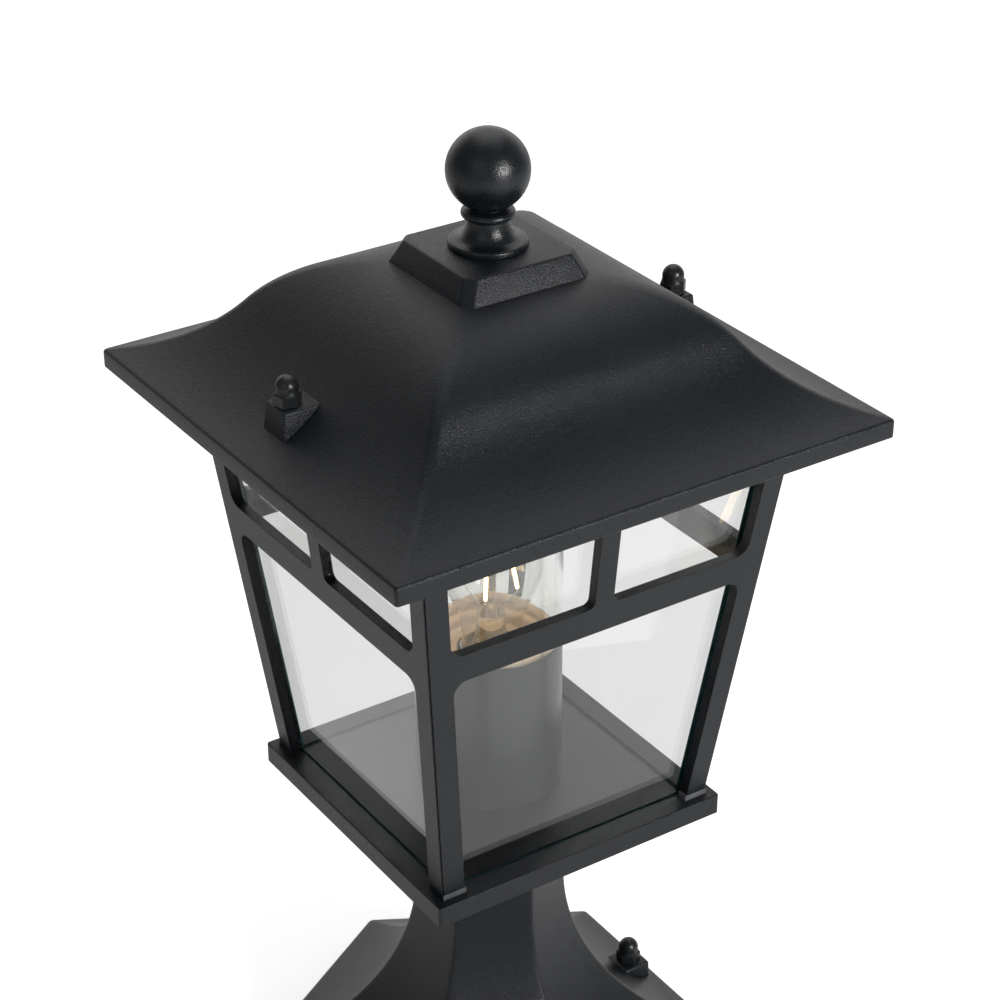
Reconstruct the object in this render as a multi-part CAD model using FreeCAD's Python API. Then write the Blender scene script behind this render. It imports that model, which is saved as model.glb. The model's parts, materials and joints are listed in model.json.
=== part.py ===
import FreeCAD, Part
import math
import os

# Post top lantern on a six-sided pedestal, in millimetres, +Z up.
# The origin is the centre of the base, on the surface the lantern stands on.
# -Y is called the front and -X the left. The roof nuts and base nuts lie on the X axis.

os.makedirs("parts", exist_ok=True)

V = FreeCAD.Vector
UP = V(0, 0, 1)

# ---------------------------------------------------------------- driving dimensions
# pedestal casting
base_across_flats = 189.0
flange_height = 16.2
flange_rim_inset = 3.5
rim_wall = 4.0
flare_radius = 107.0
neck_across_flats = 58.2
pedestal_edge_round = 2.0
casting_wall = 3.5
pedestal_top_plate = 6.0
collar_overhang = 4.5
collar_height = 4.0

# base fixing
base_nut_offset = 79.5
base_boss_top = 27.3
base_boss_length = 15.0
base_boss_width = 15.0
base_boss_depth = 13.0
base_boss_corner_round = 1.2
bar_thickness = 2.5
bar_width = 24.0
bar_end_margin = 8.0
bar_corner_round = 3.0
anchor_hole_offset = 55.0
anchor_hole_radius = 3.3

# M6 studs and cap nuts
stud_radius = 2.95
stud_clearance = 0.35
nut_bore_clearance = 0.05
nut_across_flats = 10.0
nut_hex_height = 5.0
nut_collar_height = 0.6
nut_total_height = 12.0
nut_dome_radius = 4.6
nut_bore_depth = 9.5
stud_engagement = 8.5
stud_tip_chamfer = 0.6

# tray
tray_top = 170.0
tray_ledge = 4.5
tray_corner_radius = 1.5
tray_height = 9.3
tray_plate = 4.0
tray_rim_wall = 4.0
tray_edge_round = 0.6

# cage of four side frames, leaning outwards
cage_foot_width = 134.0
eave_overhang = 27.1
cage_height = 180.2
rail_above_eave = 5.8
frame_thickness = 4.6
leg_width = 10.5
transom_bottom = 112.4
transom_depth = 12.8
mullion_width = 9.0
mullion_foot_round = 3.0
top_rail_below_eave = 14.2
opening_round = 6.0
seam_gap = 0.3
seam_bevel = 0.5
foot_pad_height = 2.5
foot_pad_reach = 0.5
foot_pad_side_margin = 0.4
tenon_width = 4.0
tenon_thickness = 1.8
tenon_clearance = 0.15
tenon_inset = 1.4
tenon_head_height = 1.4
tenon_head_overlap = 0.6

# glass panes
pane_thickness = 3.0
pane_gap = 0.9
pane_below_rail_top = 15.0
pane_side_clearance = 0.4
groove_depth = 1.0
groove_clearance = 0.3

# hardware inside the top of the cage
angle_thickness = 2.0
angle_reach = 13.0
angle_above_pane = 2.0
angle_screw_reach = 7.15
bracket_above_angle = 1.0
small_screw_radius = 1.9
small_screw_head_radius = 3.4
small_screw_head_height = 2.2
clip_screw_radius = 1.5
clip_screw_head_radius = 2.6
clip_screw_head_height = 1.8
thread_clearance = 0.05
clip_offset = 38.0
clip_width = 10.0
clip_thickness = 1.0
clip_lap = 7.0
clip_step_gap = 0.3
clip_behind_pane = 0.1
clip_top_margin = 1.0
clip_screw_rise = 1.0
roof_bracket_thickness = 2.0
roof_bracket_width = 16.0
roof_bracket_margin = 7.0
bracket_screw_spacing = 9.0
bracket_screw_below_rail_top = 7.0

# roof casting
roof_width = 230.0
roof_wall = 3.0
eave_rim = 6.8
eave_round = 1.4
eave_slope = 12.8
steepest_slope = 54.5
crown_slope = 3.0
eave_flare_radius = 71.0
eave_corner_round = 1.5
hip_round_at_bend = 4.0
hip_round_at_crown = 8.0
plinth_foot_width = 60.0
plinth_top_width = 51.6
plinth_height = 9.6
plinth_corner_cut = 3.0
roof_nut_inset = 23.0
roof_boss_top = 25.0
roof_boss_reach = 5.5
roof_boss_width = 14.6
roof_boss_side_draft = 0.8
roof_boss_end_draft = 2.0
roof_boss_corner_round = 1.2
roof_boss_root_height = 2.0
roof_post_length = 12.0
roof_post_width = 13.0
roof_post_root = 3.0
join_tolerance = 0.001

# finial
finial_foot_radius = 16.0
finial_foot_height = 2.6
finial_step_radius = 13.2
finial_neck_radius = 8.4
finial_neck_height = 11.2
finial_collar_radius = 10.8
finial_collar_height = 3.6
finial_throat_radius = 7.0
finial_ball_radius = 16.7
finial_ball_height = 31.2
finial_edge_round = 1.0
finial_bead_depth = 1.6
finial_bead_gap = 0.6
finial_cove_depth = 1.0
finial_bore_depth = 12.0
finial_stud_radius = 2.9
finial_nut_height = 5.0
finial_washer_radius = 6.0
finial_washer_thickness = 1.2
finial_stud_below_nut = 2.0
finial_bore_spare = 1.0

# lamp tube and holder
nipple_radius = 5.0
nipple_bore_radius = 4.0
nipple_clearance = 0.15
nipple_nut_across_flats = 14.0
nipple_nut_height = 4.0
nipple_below = 6.0
nipple_above = 18.0
tube_radius = 30.4
tube_wall = 1.6
tube_height = 71.7
tube_floor = 2.0
holder_foot = 12.0
holder_foot_radius = 12.0
holder_radius = 19.5
holder_flange_radius = 22.0
holder_flange_bottom = 57.3
holder_flange_thickness = 2.0
holder_top = 66.0
holder_bore_radius = 14.4
holder_bore_floor = 34.5
holder_shoulder_height = 10.0
holder_collar_height = 4.0
holder_web_inset = 2.5
shell_thickness = 0.5
shell_top_margin = 2.0
contact_strip_length = 18.0
contact_strip_width = 5.0
contact_strip_thickness = 0.6
contact_tip_half = 2.5
contact_tip_clearance = 0.3
dish_thickness = 1.2
dish_clearance = 0.3
dish_rise = 2.0
shade_ring_wall = 3.0
shade_ring_height = 4.0
flute_radius = 0.6
flute_count = 24
cylinder_wall = 2.4
cylinder_height = 88.0
cylinder_rim_round = 0.8

# bulb
cap_radius = 13.1
cap_bottom_gap = 6.0
cap_height = 24.5
glass_neck_radius = 12.4
bulb_radius = 22.5
bulb_glass_height = 63.0
bulb_glass_wall = 0.8
glass_in_cap = 5.0
glass_neck_rise = 6.0
cap_thread_turns = 5
cap_thread_depth = 1.0
cap_plain_height = 7.5
cap_foot_height = 1.5
stem_radius = 6.8
stem_neck_radius = 2.2
stem_height = 39.0
stem_above_rim = 0.5
stem_flare_height = 8.0
stem_pinch_low = 20.0
stem_pinch_high = 25.0
stem_pinch_draw_in = 1.2
stem_post_above = 14.0
filament_radius = 0.9
filament_length = 22.0
filament_foot = 27.0
filament_spread = 7.5
filament_lean = 4.0
filament_count = 4

# wiring
lead_radius = 0.9
lead_offset = 1.7
lead_straight_rise = 32.0
lead_straight_fall = 62.0
lead_past_nipple = 3.0
lead_loop_rise = 16.0
terminal_length = 18.0
terminal_width = 17.0
terminal_height = 15.0
terminal_start = 22.0
terminal_count = 3
terminal_pitch = 5.5
terminal_edge_round = 1.0
terminal_screw_inset = 5.4
terminal_socket_inset = 12.6
terminal_screw_drop = 1.5
screw_well_depth = 4.0
lead_socket_depth = 4.0
earth_screw_offset = 66.0
grommet_bore_radius = 4.5
grommet_radius = 8.0
grommet_flange_radius = 10.5
grommet_flange_height = 2.5
grommet_lip_round = 1.0

# ---------------------------------------------------------------- values worked out from them
base_half = base_across_flats / 2
neck_half = neck_across_flats / 2
roof_half = roof_width / 2
foot_half = cage_foot_width / 2
tray_half = foot_half + tray_ledge
lean = (roof_half - eave_overhang - foot_half) / cage_height
pedestal_top = tray_top - tray_plate
eave = tray_top + cage_height
rail_top = eave + rail_above_eave
transom_low = tray_top + transom_bottom
transom_high = transom_low + transom_depth
top_rail_low = eave - top_rail_below_eave
pane_high = rail_top - pane_below_rail_top
roof_nut_offset = roof_half - roof_nut_inset
roof_boss_outer = roof_nut_offset + roof_boss_reach
leg_foot = tray_top + foot_pad_height


def save(shape, name):
    if not shape.isValid():
        raise ValueError(name + " is not a valid solid")
    shape.exportStep("parts/" + name + ".step")
    print(name, "solids", len(shape.Solids), "volume", round(shape.Volume, 1))


def group(shapes):
    return Part.makeCompound(shapes)


def box(low, high):
    size = V(*high).sub(V(*low))
    return Part.makeBox(size.x, size.y, size.z, V(*low))


def rod(radius, bottom, top, x=0.0, y=0.0):
    return Part.makeCylinder(radius, top - bottom, V(x, y, bottom), UP)


def ring(outer, inner, bottom, top):
    return rod(outer, bottom, top).cut(rod(inner, bottom - 1, top + 1))


def hexagon(across_flats, bottom, top, x=0.0, y=0.0):
    corner = across_flats / 2 / math.cos(math.radians(30))
    points = []
    for step in range(7):
        turn = math.radians(60 * step + 30)
        points.append(V(x + corner * math.cos(turn), y + corner * math.sin(turn), bottom))
    face = Part.Face(Part.makePolygon(points))
    return face.extrude(V(0, 0, top - bottom))


def turned(shape, degrees):
    copy = shape.copy()
    copy.rotate(V(0, 0, 0), UP, degrees)
    return copy


def line(start, end):
    return Part.LineSegment(start, end).toShape()


def arc(start, middle, end):
    return Part.Arc(start, middle, end).toShape()


def on_circle(centre, radius, degrees):
    turn = math.radians(degrees)
    return V(centre.x + radius * math.cos(turn), 0, centre.z + radius * math.sin(turn))


def mirrored_face(half_edges):
    """A closed outline in the XZ plane from its right half, which starts and ends on the axis."""
    edges = list(half_edges)
    for edge in half_edges:
        edges.append(edge.mirror(V(0, 0, 0), V(1, 0, 0)))
    ordered = Part.Wire(Part.__sortEdges__(edges))
    return Part.Face(ordered)


def prism_of(half_edges, reach, turns):
    """The common solid of one outline drawn straight through in several directions."""
    solid = None
    for degrees in turns:
        face = mirrored_face(half_edges)
        face.translate(V(0, -reach, 0))
        bar = turned(face.extrude(V(0, 2 * reach, 0)), degrees)
        solid = bar if solid is None else solid.common(bar)
    return solid


def revolve(points_and_arcs):
    wire = Part.Wire(points_and_arcs)
    return Part.Face(wire).revolve(V(0, 0, 0), UP, 360)


def polygon_edges(points):
    edges = []
    for start, end in zip(points, points[1:]):
        edges.append(line(start, end))
    return edges


def cap_nut(x, bottom):
    """Acorn nut: hexagon with a turned collar, a straight skirt and a round dome."""
    hex_top = bottom + nut_hex_height
    dome_centre = bottom + nut_total_height - nut_dome_radius
    cone_radius = nut_across_flats / 2 * 1.04
    body = hexagon(nut_across_flats, bottom, hex_top, x)
    body = body.common(Part.makeCone(
        cone_radius + nut_hex_height, cone_radius, nut_hex_height, V(x, 0, bottom), UP))
    collar = Part.makeCone(
        cone_radius, nut_dome_radius, nut_collar_height, V(x, 0, hex_top), UP)
    skirt = rod(nut_dome_radius, hex_top, dome_centre, x)
    dome = Part.makeSphere(nut_dome_radius, V(x, 0, dome_centre))
    dome = dome.common(rod(nut_dome_radius + 1, dome_centre, dome_centre + nut_total_height, x))
    nut = body.fuse([collar, skirt, dome]).removeSplitter()
    bore = rod(stud_radius + nut_bore_clearance, bottom - 1, bottom + nut_bore_depth, x)
    return nut.cut(bore)


def pan_screw(shank, head, head_height, grip, embed):
    """Screw along +Z: the head starts at z = 0 and the shank goes down."""
    top = Part.makeCylinder(head, head_height)
    top = top.makeFillet(head_height * 0.45, [top.Edges[0]])
    slot = box((-head, -0.4, head_height * 0.55), (head, 0.4, head_height + 1))
    stem = Part.makeCylinder(shank, grip + embed, V(0, 0, -grip - embed), UP)
    return top.cut(slot).fuse(stem)


def filleted_path(points):
    """Straight runs joined by tangent arcs, each as large as its two runs allow."""
    edges = []
    last = points[0]
    for before, corner, after in zip(points, points[1:], points[2:]):
        back = before.sub(corner)
        ahead = after.sub(corner)
        run = min(back.Length, ahead.Length)
        half_turn = (math.pi - back.getAngle(ahead)) / 2
        reach = 0.45 * run
        radius = reach / math.tan(half_turn)
        print("lead bend radius", round(radius, 1))
        start = corner.add(V(back).normalize().multiply(reach))
        end = corner.add(V(ahead).normalize().multiply(reach))
        inward = V(back).normalize().add(V(ahead).normalize()).normalize()
        centre_distance = radius / math.cos(half_turn)
        middle = corner.add(inward.multiply(centre_distance - radius))
        edges.append(line(last, start))
        edges.append(arc(start, middle, end))
        last = end
    edges.append(line(last, points[-1]))
    return Part.Wire(edges)


def lead(points):
    path = filleted_path(points)
    first = points[1].sub(points[0])
    circle = Part.Wire(Part.makeCircle(lead_radius, points[0], first))
    tube = path.makePipeShell([circle], True, False)
    expected = math.pi * lead_radius ** 2 * path.Length
    print("lead volume against section times length", round(tube.Volume / expected, 3))
    return tube


# ---------------------------------------------------------------- pedestal
def pedestal_outline(wall):
    """Half outline of the six-sided trumpet, drawn in by the wall thickness."""
    centre_x = neck_half + flare_radius
    edge_x = base_half - flange_rim_inset
    centre_z = flange_height + math.sqrt(flare_radius ** 2 - (centre_x - edge_x) ** 2)
    centre = V(centre_x, 0, centre_z)
    radius = flare_radius + wall
    neck = neck_half - wall
    neck_point = V(neck, 0, centre_z)
    if wall == 0:
        slope = math.asin((centre_x - edge_x) / flare_radius)
        rim_radius = flange_rim_inset / (1 - math.sin(slope))
        end = V(edge_x, 0, flange_height)
        rim_centre = V(base_half - rim_radius, 0, flange_height - rim_radius * math.cos(slope))
        middle_angle = math.degrees(math.pi / 2 - slope) / 2
        side_top = V(base_half, 0, rim_centre.z)
        overhang_low = pedestal_top - collar_height - collar_overhang
        top_edges = polygon_edges([
            V(0, 0, pedestal_top),
            V(neck + collar_overhang, 0, pedestal_top),
            V(neck + collar_overhang, 0, pedestal_top - collar_height),
            V(neck, 0, overhang_low),
            neck_point])
        low_edges = [
            arc(end, on_circle(rim_centre, rim_radius, middle_angle), side_top),
            line(side_top, V(base_half, 0, 0)),
            line(V(base_half, 0, 0), V(0, 0, 0))]
    else:
        side = base_half - rim_wall
        end = V(side, 0, centre_z - math.sqrt(radius ** 2 - (centre_x - side) ** 2))
        top_edges = polygon_edges([
            V(0, 0, pedestal_top - pedestal_top_plate),
            V(neck, 0, pedestal_top - pedestal_top_plate),
            neck_point])
        low_edges = polygon_edges([end, V(side, 0, -1), V(0, 0, -1)])
    end_angle = 180 + math.degrees(math.acos((centre_x - end.x) / radius))
    flare = arc(neck_point, on_circle(centre, radius, (180 + end_angle) / 2), end)
    return top_edges + [flare] + low_edges


def make_pedestal():
    outside = prism_of(pedestal_outline(0), base_across_flats, (0, 60, 120))
    corners = [edge for edge in outside.Edges if edge.BoundBox.ZLength > collar_height + 1]
    outside = outside.makeFillet(pedestal_edge_round, corners)
    inside = prism_of(pedestal_outline(casting_wall), base_across_flats, (0, 60, 120))
    body = outside.cut(inside)
    for side in (-1, 1):
        x = side * base_nut_offset
        half = base_boss_length / 2
        boss = box(
            (x - half, -base_boss_width / 2, base_boss_top - base_boss_depth),
            (x + half, base_boss_width / 2, base_boss_top))
        upright = [edge for edge in boss.Edges if abs(edge.tangentAt(edge.FirstParameter).z) > 0.9]
        boss = boss.makeFillet(base_boss_corner_round, upright)
        body = body.fuse(boss)
    for side in (-1, 1):
        hole = rod(stud_radius + stud_clearance, -1, base_boss_top + 1, side * base_nut_offset)
        body = body.cut(hole)
    bore = rod(nipple_radius + nipple_clearance, pedestal_top - pedestal_top_plate - 1, pedestal_top + 1)
    return body.cut(bore)


# ---------------------------------------------------------------- base fixing and wiring
def make_mounting_bar():
    half_length = base_nut_offset + bar_end_margin
    bar = box((-half_length, -bar_width / 2, 0), (half_length, bar_width / 2, bar_thickness))
    upright = [edge for edge in bar.Edges if abs(edge.tangentAt(edge.FirstParameter).z) > 0.9]
    bar = bar.makeFillet(bar_corner_round, upright)
    bar = bar.cut(rod(grommet_radius, -1, bar_thickness + 1))
    for side in (-1, 1):
        bar = bar.cut(rod(anchor_hole_radius, -1, bar_thickness + 1, side * anchor_hole_offset))
        bar = bar.cut(rod(stud_radius, -1, bar_thickness + 1, side * base_nut_offset))
    return bar.cut(rod(small_screw_radius, -1, bar_thickness + 1, earth_screw_offset))


def make_studs(offset, bottom, seat):
    studs = []
    for side in (-1, 1):
        stud = rod(stud_radius, bottom, seat + stud_engagement, side * offset)
        tip = [edge for edge in stud.Edges if abs(edge.CenterOfMass.z - seat - stud_engagement) < 0.01]
        studs.append(stud.makeChamfer(stud_tip_chamfer, tip))
    return group(studs)


def make_grommet():
    neck = rod(grommet_radius, 0, bar_thickness)
    flange = rod(grommet_flange_radius, bar_thickness, bar_thickness + grommet_flange_height)
    flange = flange.makeFillet(grommet_lip_round, [flange.Edges[0]])
    bore = rod(grommet_bore_radius, -1, bar_thickness + grommet_flange_height + 1)
    return neck.fuse(flange).cut(bore)


def terminal_rows():
    rows = []
    for index in range(terminal_count):
        rows.append((index - (terminal_count - 1) / 2) * terminal_pitch)
    return rows


terminal_bottom = bar_thickness
terminal_top = terminal_bottom + terminal_height
terminal_end = terminal_start + terminal_length
terminal_screw_x = terminal_start + terminal_screw_inset
terminal_socket_x = terminal_start + terminal_socket_inset


def make_terminal_block():
    half = terminal_width / 2
    block = box((terminal_start, -half, terminal_bottom), (terminal_end, half, terminal_top))
    top_edges = [edge for edge in block.Edges if edge.BoundBox.ZMin > terminal_top - 0.01]
    block = block.makeFillet(terminal_edge_round, top_edges)
    for y in terminal_rows():
        well = rod(small_screw_radius, terminal_top - screw_well_depth, terminal_top + 1,
                   terminal_screw_x, y)
        socket = rod(lead_radius, terminal_top - lead_socket_depth, terminal_top + 1,
                     terminal_socket_x, y)
        block = block.cut(well).cut(socket)
    return block


def make_terminal_screws():
    screws = []
    for y in terminal_rows():
        screws.append(rod(small_screw_radius - thread_clearance, terminal_top - screw_well_depth,
                          terminal_top - terminal_screw_drop, terminal_screw_x, y))
    return group(screws)


def make_earth_screw():
    screw = pan_screw(small_screw_radius, small_screw_head_radius, small_screw_head_height,
                      bar_thickness, 0)
    screw.translate(V(earth_screw_offset, 0, bar_thickness))
    return screw


def make_leads():
    """Two leads climb the column and the nipple; the earth lead loops to its screw."""
    rows = terminal_rows()
    lead_x = terminal_socket_x
    socket = terminal_top - lead_socket_depth
    column_low = terminal_top + lead_straight_rise
    column_high = pedestal_top - lead_straight_fall
    climb_end = nipple_high + lead_past_nipple
    climbing = []
    for y, side in ((rows[0], -1), (rows[-1], 1)):
        climbing.append(lead([
            V(lead_x, y, socket),
            V(lead_x, y, column_low),
            V(lead_x * 0.35, side * (lead_offset + 0.6), (column_low + column_high) / 2 + 4),
            V(0, side * lead_offset, column_high),
            V(0, side * lead_offset, climb_end)]))
    loop_top = terminal_top + lead_loop_rise
    earth_end = bar_thickness + small_screw_head_height
    earth = lead([
        V(lead_x, rows[1], socket),
        V(lead_x, rows[1], loop_top),
        V(earth_screw_offset, rows[1], loop_top),
        V(earth_screw_offset, 0, earth_end)])
    return climbing[0], climbing[1], earth


# ---------------------------------------------------------------- cage
def outer_half(z):
    return foot_half + lean * (z - tray_top)


level_thickness = frame_thickness * math.sqrt(1 + lean ** 2)
level_pane = pane_thickness * math.sqrt(1 + lean ** 2)


def slab(inset_out, inset_in, low, high, start, end):
    """Front-side slab that leans with the cage, between two insets, over x from start to end."""
    points = [
        V(start, -(outer_half(low) - inset_out), low),
        V(start, -(outer_half(low) - inset_in), low),
        V(start, -(outer_half(high) - inset_in), high),
        V(start, -(outer_half(high) - inset_out), high)]
    points.append(points[0])
    return Part.Face(Part.makePolygon(points)).extrude(V(end - start, 0, 0))


def front_wedge(gap):
    """The quarter of the plan that belongs to the front side, between the two mitre planes."""
    reach = roof_width
    shift = gap / math.sqrt(2)
    points = [V(0, -shift, 0), V(-reach, -reach - shift, 0), V(reach, -reach - shift, 0)]
    points.append(points[0])
    return Part.Face(Part.makePolygon(points)).extrude(V(0, 0, 2 * rail_top))


def opening(corners, rounds):
    """A window cutter: a polygon in XZ with rounded corners, drawn along Y through the front."""
    count = len(corners)
    edges = []
    ends = []
    for index in range(count):
        x, z = corners[index]
        here = V(x, 0, z)
        before = V(corners[index - 1][0], 0, corners[index - 1][1]).sub(here)
        after_index = (index + 1) % count
        after = V(corners[after_index][0], 0, corners[after_index][1]).sub(here)
        radius = rounds[index]
        half_angle = before.getAngle(after) / 2
        reach = radius / math.tan(half_angle)
        start = here.add(V(before).normalize().multiply(reach))
        end = here.add(V(after).normalize().multiply(reach))
        inward = V(before).normalize().add(V(after).normalize()).normalize()
        middle = here.add(inward.multiply(radius / math.sin(half_angle) - radius))
        ends.append((start, middle, end))
    for index in range(count):
        start, middle, end = ends[index]
        next_start = ends[(index + 1) % count][0]
        if rounds[index] > 0:
            edges.append(arc(start, middle, end))
        edges.append(line(end, next_start))
    face = Part.Face(Part.Wire(edges))
    face.translate(V(0, -roof_width, 0))
    return face.extrude(V(0, roof_width, 0))


def leg_inner(z):
    return outer_half(z) - leg_width


def frame_openings():
    low = tray_top - 20
    top = transom_low
    large = opening(
        [(-leg_inner(low), low), (leg_inner(low), low), (leg_inner(top), top), (-leg_inner(top), top)],
        [0, 0, opening_round, opening_round])
    low = transom_high
    top = top_rail_low
    inner = mullion_width / 2
    right = opening(
        [(inner, low), (leg_inner(low), low), (leg_inner(top), top), (inner, top)],
        [mullion_foot_round, opening_round, opening_round, mullion_foot_round])
    left = right.mirror(V(0, 0, 0), V(1, 0, 0))
    return [large, right, left]


def tenon_span():
    inner = leg_inner(tray_top) + tenon_inset
    return inner, inner + tenon_width


def tenon_depths():
    middle = foot_half - level_thickness / 2
    return middle - tenon_thickness / 2, middle + tenon_thickness / 2


def make_front_frame(foot):
    """One cast side: top rail, transom, mullion and two legs with riveted tenons."""
    plate = slab(0, level_thickness, foot, rail_top, -roof_half, roof_half)
    plate = plate.common(front_wedge(seam_gap))
    seams = []
    for edge in plate.Edges:
        box_of_edge = edge.BoundBox
        tall = box_of_edge.ZLength > cage_height * 0.8
        outer = box_of_edge.YMax < -(outer_half(foot) - 1)
        if tall and outer:
            seams.append(edge)
    plate = plate.makeChamfer(seam_bevel, seams)
    for cutter in frame_openings():
        plate = plate.cut(cutter)
    near, far = tenon_span()
    shallow, deep = tenon_depths()
    head_bottom = pedestal_top - tenon_head_height
    for side in (-1, 1):
        x_low, x_high = sorted((side * near, side * far))
        tenon = box((x_low, -deep, head_bottom), (x_high, -shallow, foot + 0.5))
        lap = tenon_head_overlap
        head = box((x_low - lap, -deep - lap / 2, head_bottom),
                   (x_high + lap, -shallow + lap / 2, pedestal_top))
        plate = plate.fuse([tenon, head])
    for x, z in rail_screws():
        plate = plate.cut(blind_hole(small_screw_radius, x, z))
    for side in (-1, 1):
        plate = plate.cut(blind_hole(clip_screw_radius, side * clip_offset, clip_screw_z))
    return plate.removeSplitter()


angle_low = pane_high + angle_above_pane
clip_screw_z = (angle_low + rail_top) / 2 + clip_screw_rise


def rail_screws():
    z = (angle_low + rail_top) / 2
    x = outer_half(z) - level_thickness - angle_screw_reach
    return [(-x, z), (x, z)]


def side_point(x, z, inset):
    """A point on the front side, this far in from its outer face, measured level."""
    return V(x, -(outer_half(z) - inset), z)


inward = V(0, 1, lean).normalize()


def side_hole(radius, x, z, inset=-5.0, depth=20.0):
    """A hole square to the leaning front side, starting this far in from its outer face."""
    return Part.makeCylinder(radius, depth, side_point(x, z, 0).add(V(inward).multiply(inset)), inward)


def blind_hole(screw_radius, x, z):
    return side_hole(screw_radius + thread_clearance, x, z, screw_tip_cover - thread_clearance)


def tray_slots():
    slots = []
    near, far = tenon_span()
    shallow, deep = tenon_depths()
    gap = tenon_clearance
    for quarter in range(4):
        for side in (-1, 1):
            x_low, x_high = sorted((side * near, side * far))
            slot = box((x_low - gap, -deep - gap, pedestal_top - 1),
                       (x_high + gap, -shallow + gap, tray_top + foot_pad_height + 1))
            slots.append(turned(slot, 90 * quarter))
    return slots


def pane_insets():
    outside = level_thickness + pane_gap
    return outside, outside + level_pane


def pane_half(z, wide):
    """Half width of a pane: front and back reach the side frames, left and right fit between them."""
    if wide:
        return outer_half(z) - level_thickness - pane_side_clearance
    return outer_half(z) - pane_insets()[1] - pane_side_clearance


def make_front_pane(wide):
    outside, inside = pane_insets()
    low = tray_top - groove_depth
    high = pane_high
    pane = slab(outside, inside, low, high, -roof_half, roof_half)
    corners = [(-pane_half(low, wide), low), (pane_half(low, wide), low),
               (pane_half(high, wide), high), (-pane_half(high, wide), high)]
    return pane.common(opening(corners, [0, 0, 0, 0]))


def make_tray():
    body = box((-tray_half, -tray_half, tray_top - tray_height), (tray_half, tray_half, tray_top))
    upright = [edge for edge in body.Edges if edge.BoundBox.ZLength > tray_height - 0.1]
    body = body.makeFillet(tray_corner_radius, upright)
    top_edges = [edge for edge in body.Edges if edge.BoundBox.ZMin > tray_top - 0.01]
    body = body.makeFillet(tray_edge_round, top_edges)
    hollow = tray_half - tray_rim_wall
    recess = box((-hollow, -hollow, tray_top - tray_height - 1), (hollow, hollow, pedestal_top))
    body = body.cut(recess)
    outside, inside = pane_insets()
    gap = groove_clearance
    floor = tray_top - groove_depth
    for quarter in range(4):
        reach = pane_half(tray_top, quarter % 2 == 0) + gap
        groove = box((-reach, -(foot_half - outside + gap), floor),
                     (reach, -(foot_half - inside - gap), tray_top + 1))
        body = body.cut(turned(groove, 90 * quarter))
    for slot in tray_slots():
        body = body.cut(slot)
    return body.cut(rod(nipple_radius + nipple_clearance, pedestal_top - 1, tray_top + 1))


def make_foot_pads():
    pads = []
    for quarter in (0, 2):
        for side in (-1, 1):
            inner = leg_inner(tray_top) - foot_pad_side_margin
            outer = foot_half + foot_pad_side_margin
            x_low, x_high = sorted((side * inner, side * outer))
            pad = box((x_low, -(foot_half + foot_pad_reach), tray_top),
                      (x_high, -(outer_half(leg_foot) - level_thickness), leg_foot))
            pad = pad.common(front_wedge(seam_gap))
            pad = turned(pad, 90 * quarter)
            for slot in tray_slots():
                pad = pad.cut(slot)
            pads.append(pad)
    return group(pads)


def make_corner_angles():
    angles = []
    low = angle_low
    high = rail_top
    for quarter in range(4):
        inset = level_thickness
        wide = slab(inset, inset + angle_thickness, low, high, 0, roof_half)
        reach_low = outer_half(low) - inset - angle_reach
        corners = [(reach_low, low - 1), (outer_half(low - 1) - inset, low - 1),
                   (outer_half(high + 1) - inset, high + 1), (reach_low, high + 1)]
        wide = wide.common(opening(corners, [0, 0, 0, 0]))
        other = turned(wide.mirror(V(0, 0, 0), V(1, 0, 0)), 90)
        angle = wide.fuse(other).removeSplitter()
        x, z = rail_screws()[1]
        angle = angle.cut(side_hole(small_screw_radius + thread_clearance, x, z))
        angle = angle.cut(turned(side_hole(small_screw_radius + thread_clearance, -x, z), 90))
        angles.append(turned(angle, 90 * quarter))
    return group(angles)


def side_screw(x, z, depth, embed, shank, head, head_height):
    """A screw square to the front side, put in from inside: its head seats at this depth."""
    screw = pan_screw(shank, head, head_height, 0, embed)
    screw.rotate(V(0, 0, 0), V(1, 0, 0), -90 + math.degrees(math.atan(lean)))
    screw.translate(side_point(x, z, 0).add(V(inward).multiply(depth)))
    return screw


screw_tip_cover = 0.6


def make_frame_screws():
    screws = []
    seat = frame_thickness + angle_thickness / math.sqrt(1 + lean ** 2)
    for quarter in range(4):
        for x, z in rail_screws():
            screw = side_screw(x, z, seat, seat - screw_tip_cover, small_screw_radius,
                               small_screw_head_radius, small_screw_head_height)
            screws.append(turned(screw, 90 * quarter))
    return group(screws)


def clip_outline_insets():
    rail_face = level_thickness
    behind = pane_insets()[1] + clip_behind_pane
    return rail_face, behind


def make_pane_clips():
    """Z-shaped clips: screwed to the top rail, stepping over the pane and lapping behind it."""
    clips = []
    rail_face, behind = clip_outline_insets()
    step_low = pane_high + clip_step_gap
    step_high = step_low + clip_thickness
    low = pane_high - clip_lap
    outline = [
        (rail_face, rail_top - clip_top_margin), (rail_face + clip_thickness, rail_top - clip_top_margin),
        (rail_face + clip_thickness, step_high), (behind + clip_thickness, step_high),
        (behind + clip_thickness, low), (behind, low), (behind, step_low), (rail_face, step_low)]
    for quarter in range(4):
        for side in (-1, 1):
            start = side * clip_offset - clip_width / 2
            points = [V(start, -(outer_half(z) - inset), z) for inset, z in outline]
            points.append(points[0])
            clip = Part.Face(Part.makePolygon(points)).extrude(V(clip_width, 0, 0))
            hole = side_hole(clip_screw_radius + thread_clearance, side * clip_offset, clip_screw_z)
            clips.append(turned(clip.cut(hole), 90 * quarter))
    return group(clips)


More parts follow.
